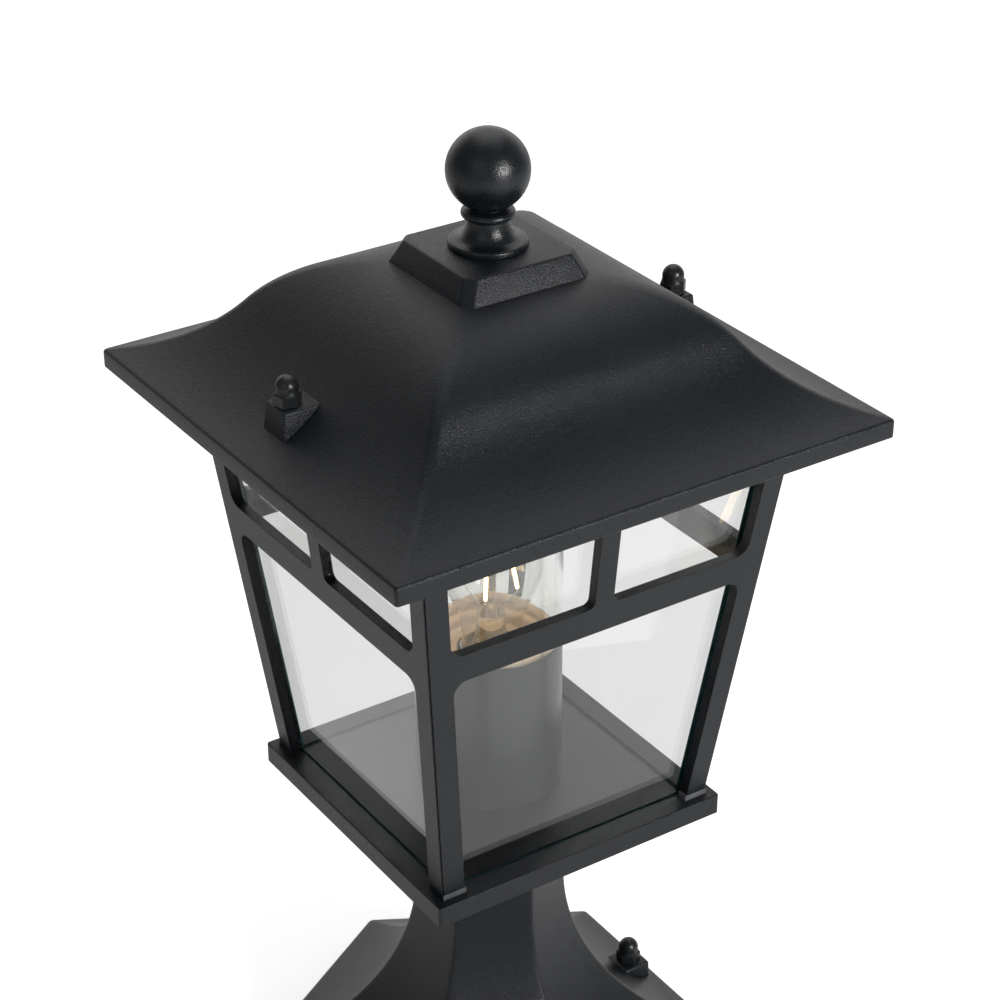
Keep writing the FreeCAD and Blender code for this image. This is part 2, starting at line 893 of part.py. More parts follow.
def make_clip_screws():
    screws = []
    seat = frame_thickness + clip_thickness / math.sqrt(1 + lean ** 2)
    for quarter in range(4):
        for side in (-1, 1):
            screw = side_screw(side * clip_offset, clip_screw_z, seat, seat - screw_tip_cover,
                               clip_screw_radius, clip_screw_head_radius, clip_screw_head_height)
            screws.append(turned(screw, 90 * quarter))
    return group(screws)


# ---------------------------------------------------------------- roof fixing
bracket_top = rail_top + roof_bracket_thickness
bracket_screw_z = rail_top - bracket_screw_below_rail_top


def make_roof_brackets():
    """Angle brackets over the left and right top rails; the roof studs stand on their ends."""
    brackets = []
    rail_face = level_thickness
    thick = roof_bracket_thickness
    reach = roof_nut_offset + roof_bracket_margin
    low = angle_low + bracket_above_angle
    outline = [
        V(0, -(outer_half(low) - rail_face), low),
        V(0, -(outer_half(low) - rail_face - thick), low),
        V(0, -(outer_half(bracket_top) - rail_face - thick), bracket_top),
        V(0, -reach, bracket_top),
        V(0, -reach, rail_top),
        V(0, -(outer_half(rail_top) - rail_face), rail_top)]
    outline.append(outline[0])
    half = roof_bracket_width / 2
    for quarter in (1, 3):
        shape = Part.Face(Part.makePolygon(outline)).extrude(V(roof_bracket_width, 0, 0))
        shape.translate(V(-half, 0, 0))
        for side in (-1, 1):
            shape = shape.cut(side_hole(
                small_screw_radius + thread_clearance, side * bracket_screw_spacing / 2, bracket_screw_z))
        shape = shape.cut(rod(stud_radius, rail_top - 1, bracket_top + 1, 0, -roof_nut_offset))
        brackets.append(turned(shape, 90 * quarter))
    return group(brackets)


def bracket_rail_holes(frame):
    for side in (-1, 1):
        frame = frame.cut(blind_hole(
            small_screw_radius, side * bracket_screw_spacing / 2, bracket_screw_z))
    return frame


def make_bracket_screws():
    screws = []
    seat = frame_thickness + roof_bracket_thickness / math.sqrt(1 + lean ** 2)
    for quarter in (1, 3):
        for side in (-1, 1):
            screw = side_screw(side * bracket_screw_spacing / 2, bracket_screw_z, seat,
                               seat - screw_tip_cover, small_screw_radius,
                               small_screw_head_radius, small_screw_head_height)
            screws.append(turned(screw, 90 * quarter))
    return group(screws)


# ---------------------------------------------------------------- roof
def roof_profile():
    """Points and arcs of the ogee, from the eave inwards, at the outer face."""
    first = math.radians(eave_slope)
    steep = math.radians(steepest_slope)
    last = math.radians(crown_slope)
    eave_x = roof_half - eave_round * (1 - math.sin(first))
    rim_z = eave + eave_rim
    eave_z = rim_z + eave_round * math.cos(first)
    bend_x = eave_x - eave_flare_radius * (math.sin(steep) - math.sin(first))
    bend_z = eave_z + eave_flare_radius * (math.cos(first) - math.cos(steep))
    plinth_half = plinth_foot_width / 2
    crown_radius = (bend_x - plinth_half) / (math.sin(steep) - math.sin(last))
    crown_z = bend_z + crown_radius * (math.cos(last) - math.cos(steep))
    return {
        "rim": V(roof_half, 0, rim_z),
        "rim_centre": V(roof_half - eave_round, 0, rim_z),
        "eave": V(eave_x, 0, eave_z),
        "flare_centre": V(eave_x + eave_flare_radius * math.sin(first), 0,
                          eave_z + eave_flare_radius * math.cos(first)),
        "bend": V(bend_x, 0, bend_z),
        "crown_centre": V(plinth_half - crown_radius * math.sin(last), 0,
                          crown_z - crown_radius * math.cos(last)),
        "crown": V(plinth_half, 0, crown_z),
        "crown_radius": crown_radius}


profile = roof_profile()
plinth_bottom = profile["crown"].z
plinth_top = plinth_bottom + plinth_height
inner_crown = plinth_bottom - roof_wall


def between(start, end, centre, radius):
    """The point half way round the short arc from start to end."""
    chord = start.add(end).multiply(0.5).sub(centre)
    return centre.add(chord.normalize().multiply(radius))


def roof_outline(wall):
    p = profile
    flare_radius_here = eave_flare_radius + wall
    crown_radius_here = p["crown_radius"] - wall

    def offset(point, centre, radius):
        return centre.add(point.sub(centre).normalize().multiply(radius))

    eave_point = offset(p["eave"], p["flare_centre"], flare_radius_here)
    bend = offset(p["bend"], p["flare_centre"], flare_radius_here)
    crown = offset(p["crown"], p["crown_centre"], crown_radius_here)
    flare = arc(eave_point, between(eave_point, bend, p["flare_centre"], flare_radius_here), bend)
    crown_arc = arc(bend, between(bend, crown, p["crown_centre"], crown_radius_here), crown)
    top = V(0, 0, crown.z)
    if wall == 0:
        corner = between(p["eave"], p["rim"], p["rim_centre"], eave_round)
        return [
            line(V(0, 0, eave), V(roof_half, 0, eave)),
            line(V(roof_half, 0, eave), p["rim"]),
            arc(p["rim"], corner, p["eave"]),
            flare, crown_arc, line(crown, top)]
    side = V(roof_half - wall, 0, eave - 1)
    side_top = V(roof_half - wall, 0, eave_point.z)
    return [
        line(V(0, 0, eave - 1), side),
        line(side, side_top),
        line(side_top, eave_point),
        flare, crown_arc, line(crown, top)]


def chamfered_square(half, cut, z):
    points = []
    for quarter in range(4):
        first = V(half, -half + cut, z)
        second = V(half, half - cut, z)
        for point in (first, second):
            turn = math.radians(90 * quarter)
            points.append(V(point.x * math.cos(turn) - point.y * math.sin(turn),
                            point.x * math.sin(turn) + point.y * math.cos(turn), z))
    points.append(points[0])
    return Part.makePolygon(points)


def roof_height_at(distance):
    """Height of the outer roof face at this distance from the axis, on the eave flare."""
    centre = profile["flare_centre"]
    return centre.z - math.sqrt(eave_flare_radius ** 2 - (centre.x - distance) ** 2)


roof_boss_seat = eave + roof_boss_top


def rounded_square(half, radius, z):
    edges = []
    flat = half - radius
    diagonal = flat + radius / math.sqrt(2)
    for quarter in range(4):
        side = line(V(half, -flat, z), V(half, flat, z))
        corner = arc(V(half, flat, z), V(diagonal, diagonal, z), V(flat, half, z))
        edges.append(turned(side, 90 * quarter))
        edges.append(turned(corner, 90 * quarter))
    return Part.Wire(edges)


def points_round(centre, start, end, count):
    """Points evenly spaced round an arc, from start to end."""
    first = math.degrees(math.atan2(start.z - centre.z, start.x - centre.x))
    last = math.degrees(math.atan2(end.z - centre.z, end.x - centre.x))
    radius = start.sub(centre).Length
    points = []
    for step in range(count + 1):
        points.append(on_circle(centre, radius, first + (last - first) * step / count))
    return points


def hip_round(half):
    """The hips are crisp at the eave corners and grow rounder up to the crown."""
    bend = profile["bend"].x
    if half > bend:
        share = (roof_half - half) / (roof_half - bend)
        return eave_corner_round + (hip_round_at_bend - eave_corner_round) * share
    share = (bend - half) / (bend - plinth_foot_width / 2)
    return hip_round_at_bend + (hip_round_at_crown - hip_round_at_bend) * share


def make_roof_outside():
    p = profile
    flare = points_round(p["flare_centre"], p["eave"], p["bend"], 4)
    crown = points_round(p["crown_centre"], p["bend"], p["crown"], 5)
    cap_sections = [rounded_square(point.x, hip_round(point.x), point.z) for point in flare + crown[1:]]
    rim_points = points_round(p["rim_centre"], p["rim"], p["eave"], 3)
    rim_sections = [rounded_square(point.x, eave_corner_round, point.z) for point in rim_points]
    rim = Part.Face(rounded_square(roof_half, eave_corner_round, eave)).extrude(V(0, 0, eave_rim))
    upper = [Part.makeLoft(rim_sections, True, False), Part.makeLoft(cap_sections, True, False)]
    return rim.fuse(upper, join_tolerance)


def rectangle(x_low, x_high, half_width, z):
    points = [V(x_low, -half_width, z), V(x_high, -half_width, z),
              V(x_high, half_width, z), V(x_low, half_width, z)]
    points.append(points[0])
    return Part.makePolygon(points)


def make_roof_boss():
    """The shelf the right nut stands on, drafted on its three free sides."""
    low = eave + eave_rim + roof_boss_root_height
    inner = profile["bend"].x
    half = roof_boss_width / 2
    boss = Part.makeLoft([
        rectangle(inner, roof_boss_outer + roof_boss_end_draft, half + roof_boss_side_draft, low),
        rectangle(inner, roof_boss_outer, half, roof_boss_seat)], True, True)
    tall = [edge for edge in boss.Edges if edge.BoundBox.ZLength > (roof_boss_seat - low) / 2]
    outer = [edge for edge in tall if edge.CenterOfMass.x > roof_nut_offset]
    return boss.makeFillet(roof_boss_corner_round, outer)


def make_roof():
    plinth_low = inner_crown + roof_wall / 2
    slope = (plinth_foot_width - plinth_top_width) / 2 / plinth_height
    low_half = plinth_foot_width / 2 + slope * (plinth_bottom - plinth_low)
    plinth = Part.makeLoft([
        chamfered_square(low_half, plinth_corner_cut, plinth_low),
        chamfered_square(plinth_top_width / 2, plinth_corner_cut, plinth_top)], True, True)
    boss = make_roof_boss()
    body = make_roof_outside().fuse([plinth, boss, turned(boss, 180)])
    body = body.cut(prism_of(roof_outline(roof_wall), roof_width, (0, 90)))
    post_high = roof_height_at(roof_nut_offset) + roof_post_root
    post = box((roof_nut_offset - roof_post_length / 2, -roof_post_width / 2, bracket_top),
               (roof_nut_offset + roof_post_length / 2, roof_post_width / 2, post_high))
    body = body.fuse([post, turned(post, 180)])
    for side in (-1, 1):
        hole = rod(stud_radius + stud_clearance, bracket_top - 1, roof_boss_seat + 1, side * roof_nut_offset)
        body = body.cut(hole)
    body = body.cut(rod(finial_stud_radius + thread_clearance, inner_crown - 1, plinth_top + 1))
    return body.removeSplitter()


# ---------------------------------------------------------------- finial
def make_finial():
    z = plinth_top
    step = V(finial_step_radius, 0, z + finial_foot_height + finial_edge_round)
    neck = V(finial_neck_radius, 0, z + finial_neck_height)
    cove = V(finial_neck_radius + finial_cove_depth, 0, (step.z + neck.z) / 2 - finial_bead_gap)
    bead_low = neck.z + finial_bead_gap
    bead_foot = finial_collar_radius - finial_bead_depth
    collar_low = V(bead_foot, 0, bead_low)
    collar_mid = V(finial_collar_radius, 0, bead_low + finial_collar_height / 2)
    collar_high = V(bead_foot, 0, bead_low + finial_collar_height)
    throat = V(finial_throat_radius, 0, collar_high.z + finial_bead_gap)
    centre = V(0, 0, z + finial_ball_height)
    throat_drop = math.sqrt(finial_ball_radius ** 2 - finial_throat_radius ** 2)
    ball_low = V(finial_throat_radius, 0, centre.z - throat_drop)
    ball_side = V(finial_ball_radius, 0, centre.z)
    ball_top = V(0, 0, centre.z + finial_ball_radius)
    foot_low = V(finial_foot_radius, 0, z)
    foot_high = V(finial_foot_radius, 0, z + finial_foot_height - finial_edge_round)
    foot_in = V(finial_foot_radius - finial_edge_round, 0, z + finial_foot_height)
    round_inset = finial_edge_round * (1 - math.cos(math.radians(45)))
    foot_mid = V(finial_foot_radius - round_inset, 0, z + finial_foot_height - round_inset)
    edges = [
        line(V(0, 0, z), foot_low),
        line(foot_low, foot_high),
        arc(foot_high, foot_mid, foot_in),
        line(foot_in, V(finial_step_radius, 0, foot_in.z)),
        line(V(finial_step_radius, 0, foot_in.z), step),
        arc(step, cove, neck),
        line(neck, collar_low),
        arc(collar_low, collar_mid, collar_high),
        line(collar_high, throat),
        line(throat, ball_low),
        arc(ball_low, ball_side, ball_top),
        line(ball_top, V(0, 0, z))]
    body = revolve(edges)
    return body.cut(rod(finial_stud_radius + thread_clearance, z - 1, z + finial_bore_depth))


finial_nut_bottom = inner_crown - finial_nut_height


def make_finial_stud():
    bottom = finial_nut_bottom - finial_stud_below_nut
    return rod(finial_stud_radius, bottom, plinth_top + finial_bore_depth - finial_bore_spare)


def make_finial_nut():
    nut = hexagon(nut_across_flats, finial_nut_bottom, inner_crown)
    washer = rod(finial_washer_radius, inner_crown - finial_washer_thickness, inner_crown)
    nut = nut.fuse(washer).removeSplitter()
    return nut.cut(rod(finial_stud_radius + thread_clearance, finial_nut_bottom - 1, inner_crown + 1))


# ---------------------------------------------------------------- lamp tube, holder and glass cylinder
tube_top = tray_top + tube_height
holder_bottom = tray_top + holder_foot
flange_low = tray_top + holder_flange_bottom
flange_high = flange_low + holder_flange_thickness
holder_high = tray_top + holder_top
bore_floor = tray_top + holder_bore_floor
nipple_low = pedestal_top - pedestal_top_plate - nipple_below
nipple_high = tray_top + nipple_above


def make_nipple_nuts():
    seat_low = pedestal_top - pedestal_top_plate
    seat_high = tray_top + tube_floor
    nuts = []
    for low in (seat_low - nipple_nut_height, seat_high):
        nut = hexagon(nipple_nut_across_flats, low, low + nipple_nut_height)
        hole = rod(nipple_radius + thread_clearance, low - 1, low + nipple_nut_height + 1)
        nuts.append(nut.cut(hole))
    return group(nuts)


def make_lamp_tube():
    tube = ring(tube_radius, tube_radius - tube_wall, tray_top, tube_top)
    floor = ring(tube_radius - tube_wall / 2, nipple_radius + nipple_clearance,
                 tray_top, tray_top + tube_floor)
    return tube.fuse(floor).removeSplitter()


def make_lampholder():
    shoulder = holder_bottom + holder_shoulder_height
    neck = holder_bottom + holder_collar_height
    edges = polygon_edges([
        V(0, 0, holder_bottom), V(holder_foot_radius, 0, holder_bottom),
        V(holder_foot_radius, 0, neck), V(holder_radius, 0, shoulder),
        V(holder_radius, 0, flange_low), V(holder_flange_radius, 0, flange_low),
        V(holder_flange_radius, 0, flange_high), V(holder_radius, 0, flange_high),
        V(holder_radius, 0, holder_high), V(0, 0, holder_high), V(0, 0, holder_bottom)])
    body = revolve(edges)
    body = body.cut(rod(holder_bore_radius, bore_floor, holder_high + 1))
    wire_room = rod(holder_foot_radius - holder_web_inset - 0.5, holder_bottom - 1, shoulder)
    socket = rod(nipple_radius + thread_clearance, holder_bottom - 1, nipple_high)
    base_web = ring(holder_foot_radius - holder_web_inset, nipple_radius + thread_clearance,
                    holder_bottom, nipple_high)
    return body.cut(wire_room).fuse(base_web).cut(socket).removeSplitter()


def make_holder_shell():
    low = bore_floor + cap_bottom_gap
    return ring(holder_bore_radius, holder_bore_radius - shell_thickness, low, holder_high - shell_top_margin)


def make_holder_contact():
    """Sprung tab on the floor of the holder that the bulb's tip presses on."""
    low = bore_floor
    strip = low + contact_strip_thickness
    tip = low + contact_gap - contact_tip_clearance
    end = contact_strip_length / 2
    half = contact_strip_width / 2
    outline = [
        V(-end, -half, low), V(end, -half, low), V(end, -half, strip),
        V(contact_tip_half, -half, tip), V(-contact_tip_half, -half, tip), V(-end, -half, strip)]
    outline.append(outline[0])
    return Part.Face(Part.makePolygon(outline)).extrude(V(0, contact_strip_width, 0))


def make_lamp_dish():
    """Spun dish: a flat ring on the holder flange with a turned-up wall that centres the cylinder."""
    outer = tube_radius - cylinder_wall - dish_clearance
    top = tube_top + dish_rise
    flat = ring(outer, holder_radius + dish_clearance, flange_high, flange_high + dish_thickness)
    wall = ring(outer, outer - dish_thickness, flange_high, top)
    return flat.fuse(wall).removeSplitter()


def make_shade_ring():
    low = flange_high + dish_thickness
    body = ring(holder_radius + shade_ring_wall, holder_radius + thread_clearance, low, low + shade_ring_height)
    flute = rod(flute_radius, low - 1, low + shade_ring_height + 1, holder_radius + shade_ring_wall)
    return body.cut([turned(flute, index * 360 / flute_count) for index in range(flute_count)])


def make_glass_cylinder():
    body = ring(tube_radius, tube_radius - cylinder_wall, tube_top, tube_top + cylinder_height)
    rims = [edge for edge in body.Edges if edge.BoundBox.ZMin > tube_top + cylinder_height - 0.01]
    return body.makeFillet(cylinder_rim_round, rims)


# ---------------------------------------------------------------- bulb
contact_gap = 3.0
tip_height = 1.2
insulator_height = 3.6
bulb_tip = bore_floor + contact_gap
insulator_low = bulb_tip + tip_height
cap_low = insulator_low + insulator_height
cap_high = cap_low + cap_height
glass_low = cap_high - glass_in_cap
glass_top = cap_high + bulb_glass_height
tip_radius = 4.0
cap_wall = 0.4
cap_foot_radius = 8.5


def bulb_outline(inset):
    """Pear outline: straight neck, long shoulder arc and a round head."""
    radius = bulb_radius - inset
    neck = glass_neck_radius - inset
    head = V(0, 0, glass_top - bulb_radius)
    neck_top = cap_high + glass_neck_rise
    tangent = on_circle(head, radius, -18)
    swell = V(neck + (tangent.x - neck) * 0.42, 0, neck_top + (tangent.z - neck_top) * 0.55)
    low = glass_low - (1 if inset > 0 else 0)
    return [
        line(V(0, 0, low), V(neck, 0, low)),
        line(V(neck, 0, low), V(neck, 0, neck_top)),
        Part.BSplineCurve([V(neck, 0, neck_top), V(neck, 0, neck_top + glass_neck_rise), swell,
                           V(tangent.x - 1.4, 0, tangent.z - 4.2), tangent]).toShape(),
        arc(tangent, on_circle(head, radius, 36), on_circle(head, radius, 90)),
        line(on_circle(head, radius, 90), V(0, 0, low))]


def make_bulb_glass():
    return revolve(bulb_outline(0)).cut(revolve(bulb_outline(bulb_glass_wall)))


def make_bulb_cap():
    """Screw cap with a rounded thread form, open at both ends."""
    pitch = (cap_height - cap_plain_height) / cap_thread_turns
    root = cap_radius - cap_thread_depth
    outer = [V(cap_foot_radius, 0, cap_low), V(root, 0, cap_low + cap_foot_height)]
    edges = [line(outer[0], outer[1])]
    last = outer[1]
    for index in range(cap_thread_turns):
        crest = V(cap_radius, 0, last.z + pitch / 2)
        end = V(root, 0, last.z + pitch)
        edges.append(arc(last, crest, end))
        last = end
    rim_low = V(cap_radius, 0, last.z + 1)
    rim_high = V(cap_radius, 0, cap_high)
    inner_high = V(glass_neck_radius + thread_clearance, 0, cap_high)
    inner_mid = V(glass_neck_radius + thread_clearance, 0, glass_low)
    inner_neck = V(root - cap_wall, 0, glass_low)
    inner_low = V(root - cap_wall, 0, cap_low + cap_foot_height + cap_wall)
    inner_foot = V(cap_foot_radius - 1.0, 0, cap_low)
    edges += polygon_edges([last, rim_low, rim_high, inner_high, inner_mid, inner_neck,
                            inner_low, inner_foot, outer[0]])
    return revolve(edges)


def make_bulb_insulator():
    edges = polygon_edges([
        V(0, 0, insulator_low), V(tip_radius + 0.6, 0, insulator_low),
        V(cap_foot_radius, 0, cap_low), V(0, 0, cap_low), V(0, 0, insulator_low)])
    return revolve(edges)


def make_bulb_contact():
    edges = [
        line(V(0, 0, insulator_low), V(0, 0, bulb_tip)),
        arc(V(0, 0, bulb_tip), V(tip_radius * 0.7, 0, bulb_tip + 0.4), V(tip_radius, 0, insulator_low)),
        line(V(tip_radius, 0, insulator_low), V(0, 0, insulator_low))]
    return revolve(edges)


def make_bulb_stem():
    """Glass foot flared to the neck wall, a flat pinch and a thin post for the filament wires."""
    z = glass_low + stem_above_rim
    post_top = z + stem_height + stem_post_above
    edges = polygon_edges([
        V(0, 0, z), V(glass_neck_radius - bulb_glass_wall, 0, z),
        V(stem_radius, 0, z + stem_flare_height),
        V(stem_radius - stem_pinch_draw_in, 0, z + stem_pinch_low),
        V(stem_neck_radius, 0, z + stem_pinch_high), V(stem_neck_radius, 0, post_top),
        V(0, 0, post_top + 1), V(0, 0, z)])
    return revolve(edges)


def filament_places():
    places = []
    for index in range(filament_count):
        turn = math.radians(45 + 360 * index / filament_count)
        places.append((math.cos(turn), math.sin(turn)))
    return places


def filament_ends(cos_turn, sin_turn):
    low = cap_high + filament_foot
    wide = filament_spread + filament_lean
    foot = V(wide * cos_turn, wide * sin_turn, low)
    head = V(filament_spread * cos_turn, filament_spread * sin_turn, low + filament_length)
    return foot, head


def make_filaments():
    sticks = []
    for cos_turn, sin_turn in filament_places():
        foot, head = filament_ends(cos_turn, sin_turn)
        axis = head.sub(foot)
        sticks.append(Part.makeCylinder(filament_radius, axis.Length, foot, axis))
    return group(sticks)


wire_radius = 0.3
wire_foot_radius = 4.8
wire_foot_height = 22.0
wire_end_gap = 1.2
wire_post_drop = 1.0


def make_filament_wires():
    """Thin wires from the pinch to each filament's foot and from each head to the post's top."""
    wires = []
    z = glass_low + stem_above_rim
    post_z = z + stem_height + stem_post_above - wire_post_drop
    post_reach = stem_neck_radius + wire_radius
    for cos_turn, sin_turn in filament_places():
        foot, head = filament_ends(cos_turn, sin_turn)
        low_start = V(wire_foot_radius * cos_turn, wire_foot_radius * sin_turn, z + wire_foot_height)
        low_end = foot.add(V(0, 0, -wire_end_gap))
        high_start = head.add(V(0, 0, wire_end_gap))
        high_end = V(post_reach * cos_turn, post_reach * sin_turn, post_z)
        for start, end in ((low_start, low_end), (high_start, high_end)):
            axis = end.sub(start)
            wires.append(Part.makeCylinder(wire_radius, axis.Length, start, axis))
    return group(wires)


# ---------------------------------------------------------------- write every piece
save(make_pedestal(), "pedestal")
save(make_mounting_bar(), "mounting_bar")
save(make_studs(base_nut_offset, 0, base_boss_top), "base_studs")
save(cap_nut(-base_nut_offset, base_boss_top), "base_cap_nut_left")
save(cap_nut(base_nut_offset, base_boss_top), "base_cap_nut_right")
save(make_grommet(), "cable_grommet")
save(make_terminal_block(), "terminal_block")
save(make_terminal_screws(), "terminal_screws")
save(make_earth_screw(), "earth_screw")
line_lead, neutral_lead, earth_lead = make_leads()
save(line_lead, "lead_line")
save(neutral_lead, "lead_neutral")
save(earth_lead, "lead_earth")

save(make_tray(), "tray")
save(make_foot_pads(), "foot_pads")
front = make_front_frame(leg_foot)
save(front, "frame_front")
save(turned(front, 180), "frame_back")
side_frame = bracket_rail_holes(make_front_frame(tray_top))
save(turned(side_frame, -90), "frame_left")
save(turned(side_frame, 90), "frame_right")
wide_pane = make_front_pane(True)
narrow_pane = make_front_pane(False)
save(wide_pane, "pane_front")
save(turned(wide_pane, 180), "pane_back")
save(turned(narrow_pane, -90), "pane_left")
save(turned(narrow_pane, 90), "pane_right")
save(make_corner_angles(), "corner_angles")
save(make_frame_screws(), "frame_screws")
save(make_pane_clips(), "pane_clips")
save(make_clip_screws(), "clip_screws")

save(make_roof_brackets(), "roof_brackets")
save(make_bracket_screws(), "bracket_screws")
save(make_studs(roof_nut_offset, rail_top, roof_boss_seat), "roof_studs")
save(make_roof(), "roof")
save(cap_nut(-roof_nut_offset, roof_boss_seat), "roof_cap_nut_left")
save(cap_nut(roof_nut_offset, roof_boss_seat), "roof_cap_nut_right")
save(make_finial(), "finial")
save(make_finial_stud(), "finial_stud")
save(make_finial_nut(), "finial_nut")

save(ring(nipple_radius, nipple_bore_radius, nipple_low, nipple_high), "nipple")
save(make_nipple_nuts(), "nipple_nuts")
save(make_lamp_tube(), "lamp_tube")
save(make_lampholder(), "lampholder")
save(make_holder_shell(), "holder_shell")
save(make_holder_contact(), "holder_contact")
save(make_lamp_dish(), "lamp_dish")
save(make_shade_ring(), "shade_ring")
save(make_glass_cylinder(), "glass_cylinder")
save(make_bulb_glass(), "bulb_glass")
save(make_bulb_cap(), "bulb_cap")
save(make_bulb_insulator(), "bulb_insulator")
save(make_bulb_contact(), "bulb_contact")
save(make_bulb_stem(), "bulb_stem")
save(make_filaments(), "filaments")
save(make_filament_wires(), "filament_wires")
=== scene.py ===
import json
import math

import bmesh
import bpy
from mathutils import Matrix, Vector

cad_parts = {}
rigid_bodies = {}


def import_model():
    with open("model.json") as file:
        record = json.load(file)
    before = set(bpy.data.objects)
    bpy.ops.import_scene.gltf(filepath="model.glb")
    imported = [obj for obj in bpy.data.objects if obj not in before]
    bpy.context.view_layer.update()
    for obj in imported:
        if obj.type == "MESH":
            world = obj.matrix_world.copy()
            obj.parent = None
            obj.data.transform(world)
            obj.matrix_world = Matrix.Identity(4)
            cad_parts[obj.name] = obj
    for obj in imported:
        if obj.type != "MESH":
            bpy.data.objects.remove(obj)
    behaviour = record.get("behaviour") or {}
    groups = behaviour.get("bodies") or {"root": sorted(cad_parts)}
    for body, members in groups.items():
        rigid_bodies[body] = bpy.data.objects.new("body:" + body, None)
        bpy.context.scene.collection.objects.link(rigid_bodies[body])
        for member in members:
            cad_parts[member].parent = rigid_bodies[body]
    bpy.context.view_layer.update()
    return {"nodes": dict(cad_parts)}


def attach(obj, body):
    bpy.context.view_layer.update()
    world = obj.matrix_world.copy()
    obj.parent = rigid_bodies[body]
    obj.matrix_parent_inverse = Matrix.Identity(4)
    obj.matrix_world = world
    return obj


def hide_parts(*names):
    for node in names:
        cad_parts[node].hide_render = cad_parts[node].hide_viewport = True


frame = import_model()

MM = 0.001

# ---------------------------------------------------------------- sizes shared with the CAD, in mm
TRAY_TOP = 170.0
EAVE = 350.2
ROOF_HALF = 115.0
EAVE_RIM = 6.8
EAVE_ROUND = 1.4
EAVE_SLOPE = 12.8
STEEPEST_SLOPE = 54.5
CROWN_SLOPE = 3.0
FLARE_RADIUS = 71.0
PLINTH_FOOT = 30.0
PLINTH_TOP = 25.8
PLINTH_HEIGHT = 9.6
PLINTH_CUT = 4.2
ROOF_WALL = 3.0
ROOF_NUT_X = 92.0
ROOF_BOSS_TOP = EAVE + 25.0
BASE_HALF = 94.5
FLANGE_HEIGHT = 16.2
RIM_INSET = 3.5
RIM_WALL = 4.0
COLUMN_FLARE = 107.0
NECK_HALF = 29.1
PEDESTAL_TOP = 166.0
BASE_NUT_X = 79.5
BASE_BOSS_TOP = 27.3
TUBE_RADIUS = 30.4
TUBE_WALL = 1.6
TUBE_TOP = 241.7
CYLINDER_WALL = 2.4
CYLINDER_HEIGHT = 88.0
CASTING_WALL = 3.5
FLANGE_HIGH = 229.3
NUT_HEIGHT = 12.0
NUT_DOME = 4.6
CAP_LOW = 212.3
CAP_HIGH = 236.8
CAP_RADIUS = 13.1
GLASS_TOP = 299.8
BULB_RADIUS = 22.5
BULB_NECK = 12.4
BULB_WALL = 0.8


# ---------------------------------------------------------------- mesh helpers
def new_object(name, mesh):
    obj = bpy.data.objects.new(name, mesh)
    bpy.context.scene.collection.objects.link(obj)
    return obj


def smooth(mesh, angle=32.0):
    """Smooth shading, with edges kept sharp where the faces turn by more than the angle."""
    mesh.polygons.foreach_set("use_smooth", [True] * len(mesh.polygons))
    work = bmesh.new()
    work.from_mesh(mesh)
    limit = math.radians(angle)
    for edge in work.edges:
        edge.smooth = len(edge.link_faces) != 2 or edge.calc_face_angle(0.0) < limit
    work.to_mesh(mesh)
    work.free()


def finish_mesh(name, work, angle=32.0):
    """Welds the points, turns the faces outward and makes the object."""
    bmesh.ops.remove_doubles(work, verts=work.verts, dist=1e-7)
    bmesh.ops.recalc_face_normals(work, faces=work.faces)
    mesh = bpy.data.meshes.new(name)
    work.to_mesh(mesh)
    work.free()
    smooth(mesh, angle)
    return new_object(name, mesh)


def baked(obj):
    """Applies the object's modifiers to its mesh."""
    bpy.context.view_layer.update()
    graph = bpy.context.evaluated_depsgraph_get()
    mesh = bpy.data.meshes.new_from_object(obj.evaluated_get(graph))
    obj.modifiers.clear()
    obj.data = mesh
    smooth(mesh)
    return obj


def bevel(obj, width_mm, segments=3, angle=35.0):
    mod = obj.modifiers.new("edge_round", "BEVEL")
    mod.width = width_mm * MM
    mod.segments = segments
    mod.limit_method = "ANGLE"
    mod.angle_limit = math.radians(angle)
    mod.harden_normals = False
    return baked(obj)


def joined(name, pieces):
    """One object from several, each kept as its own closed shell."""
    work = bmesh.new()
    for piece in pieces:
        copy = piece.data.copy()
        copy.transform(piece.matrix_world)
        work.from_mesh(copy)
        bpy.data.meshes.remove(copy)
        bpy.data.objects.remove(piece)
    mesh = bpy.data.meshes.new(name)
    work.to_mesh(mesh)
    work.free()
    return new_object(name, mesh)


def skin(work, rings, close_start=True, close_end=True):
    """Faces between closed rings of points in mm, with both ends closed if asked."""
    rows = []
    for ring in rings:
        rows.append([work.verts.new(Vector(point) * MM) for point in ring])
    count = len(rows[0])
    for low, high in zip(rows, rows[1:]):
        for index in range(count):
            after = (index + 1) % count
            work.faces.new((low[index], low[after], high[after], high[index]))
    if close_start:
        work.faces.new(list(reversed(rows[0])))
    if close_end:
        work.faces.new(rows[-1])
    return rows


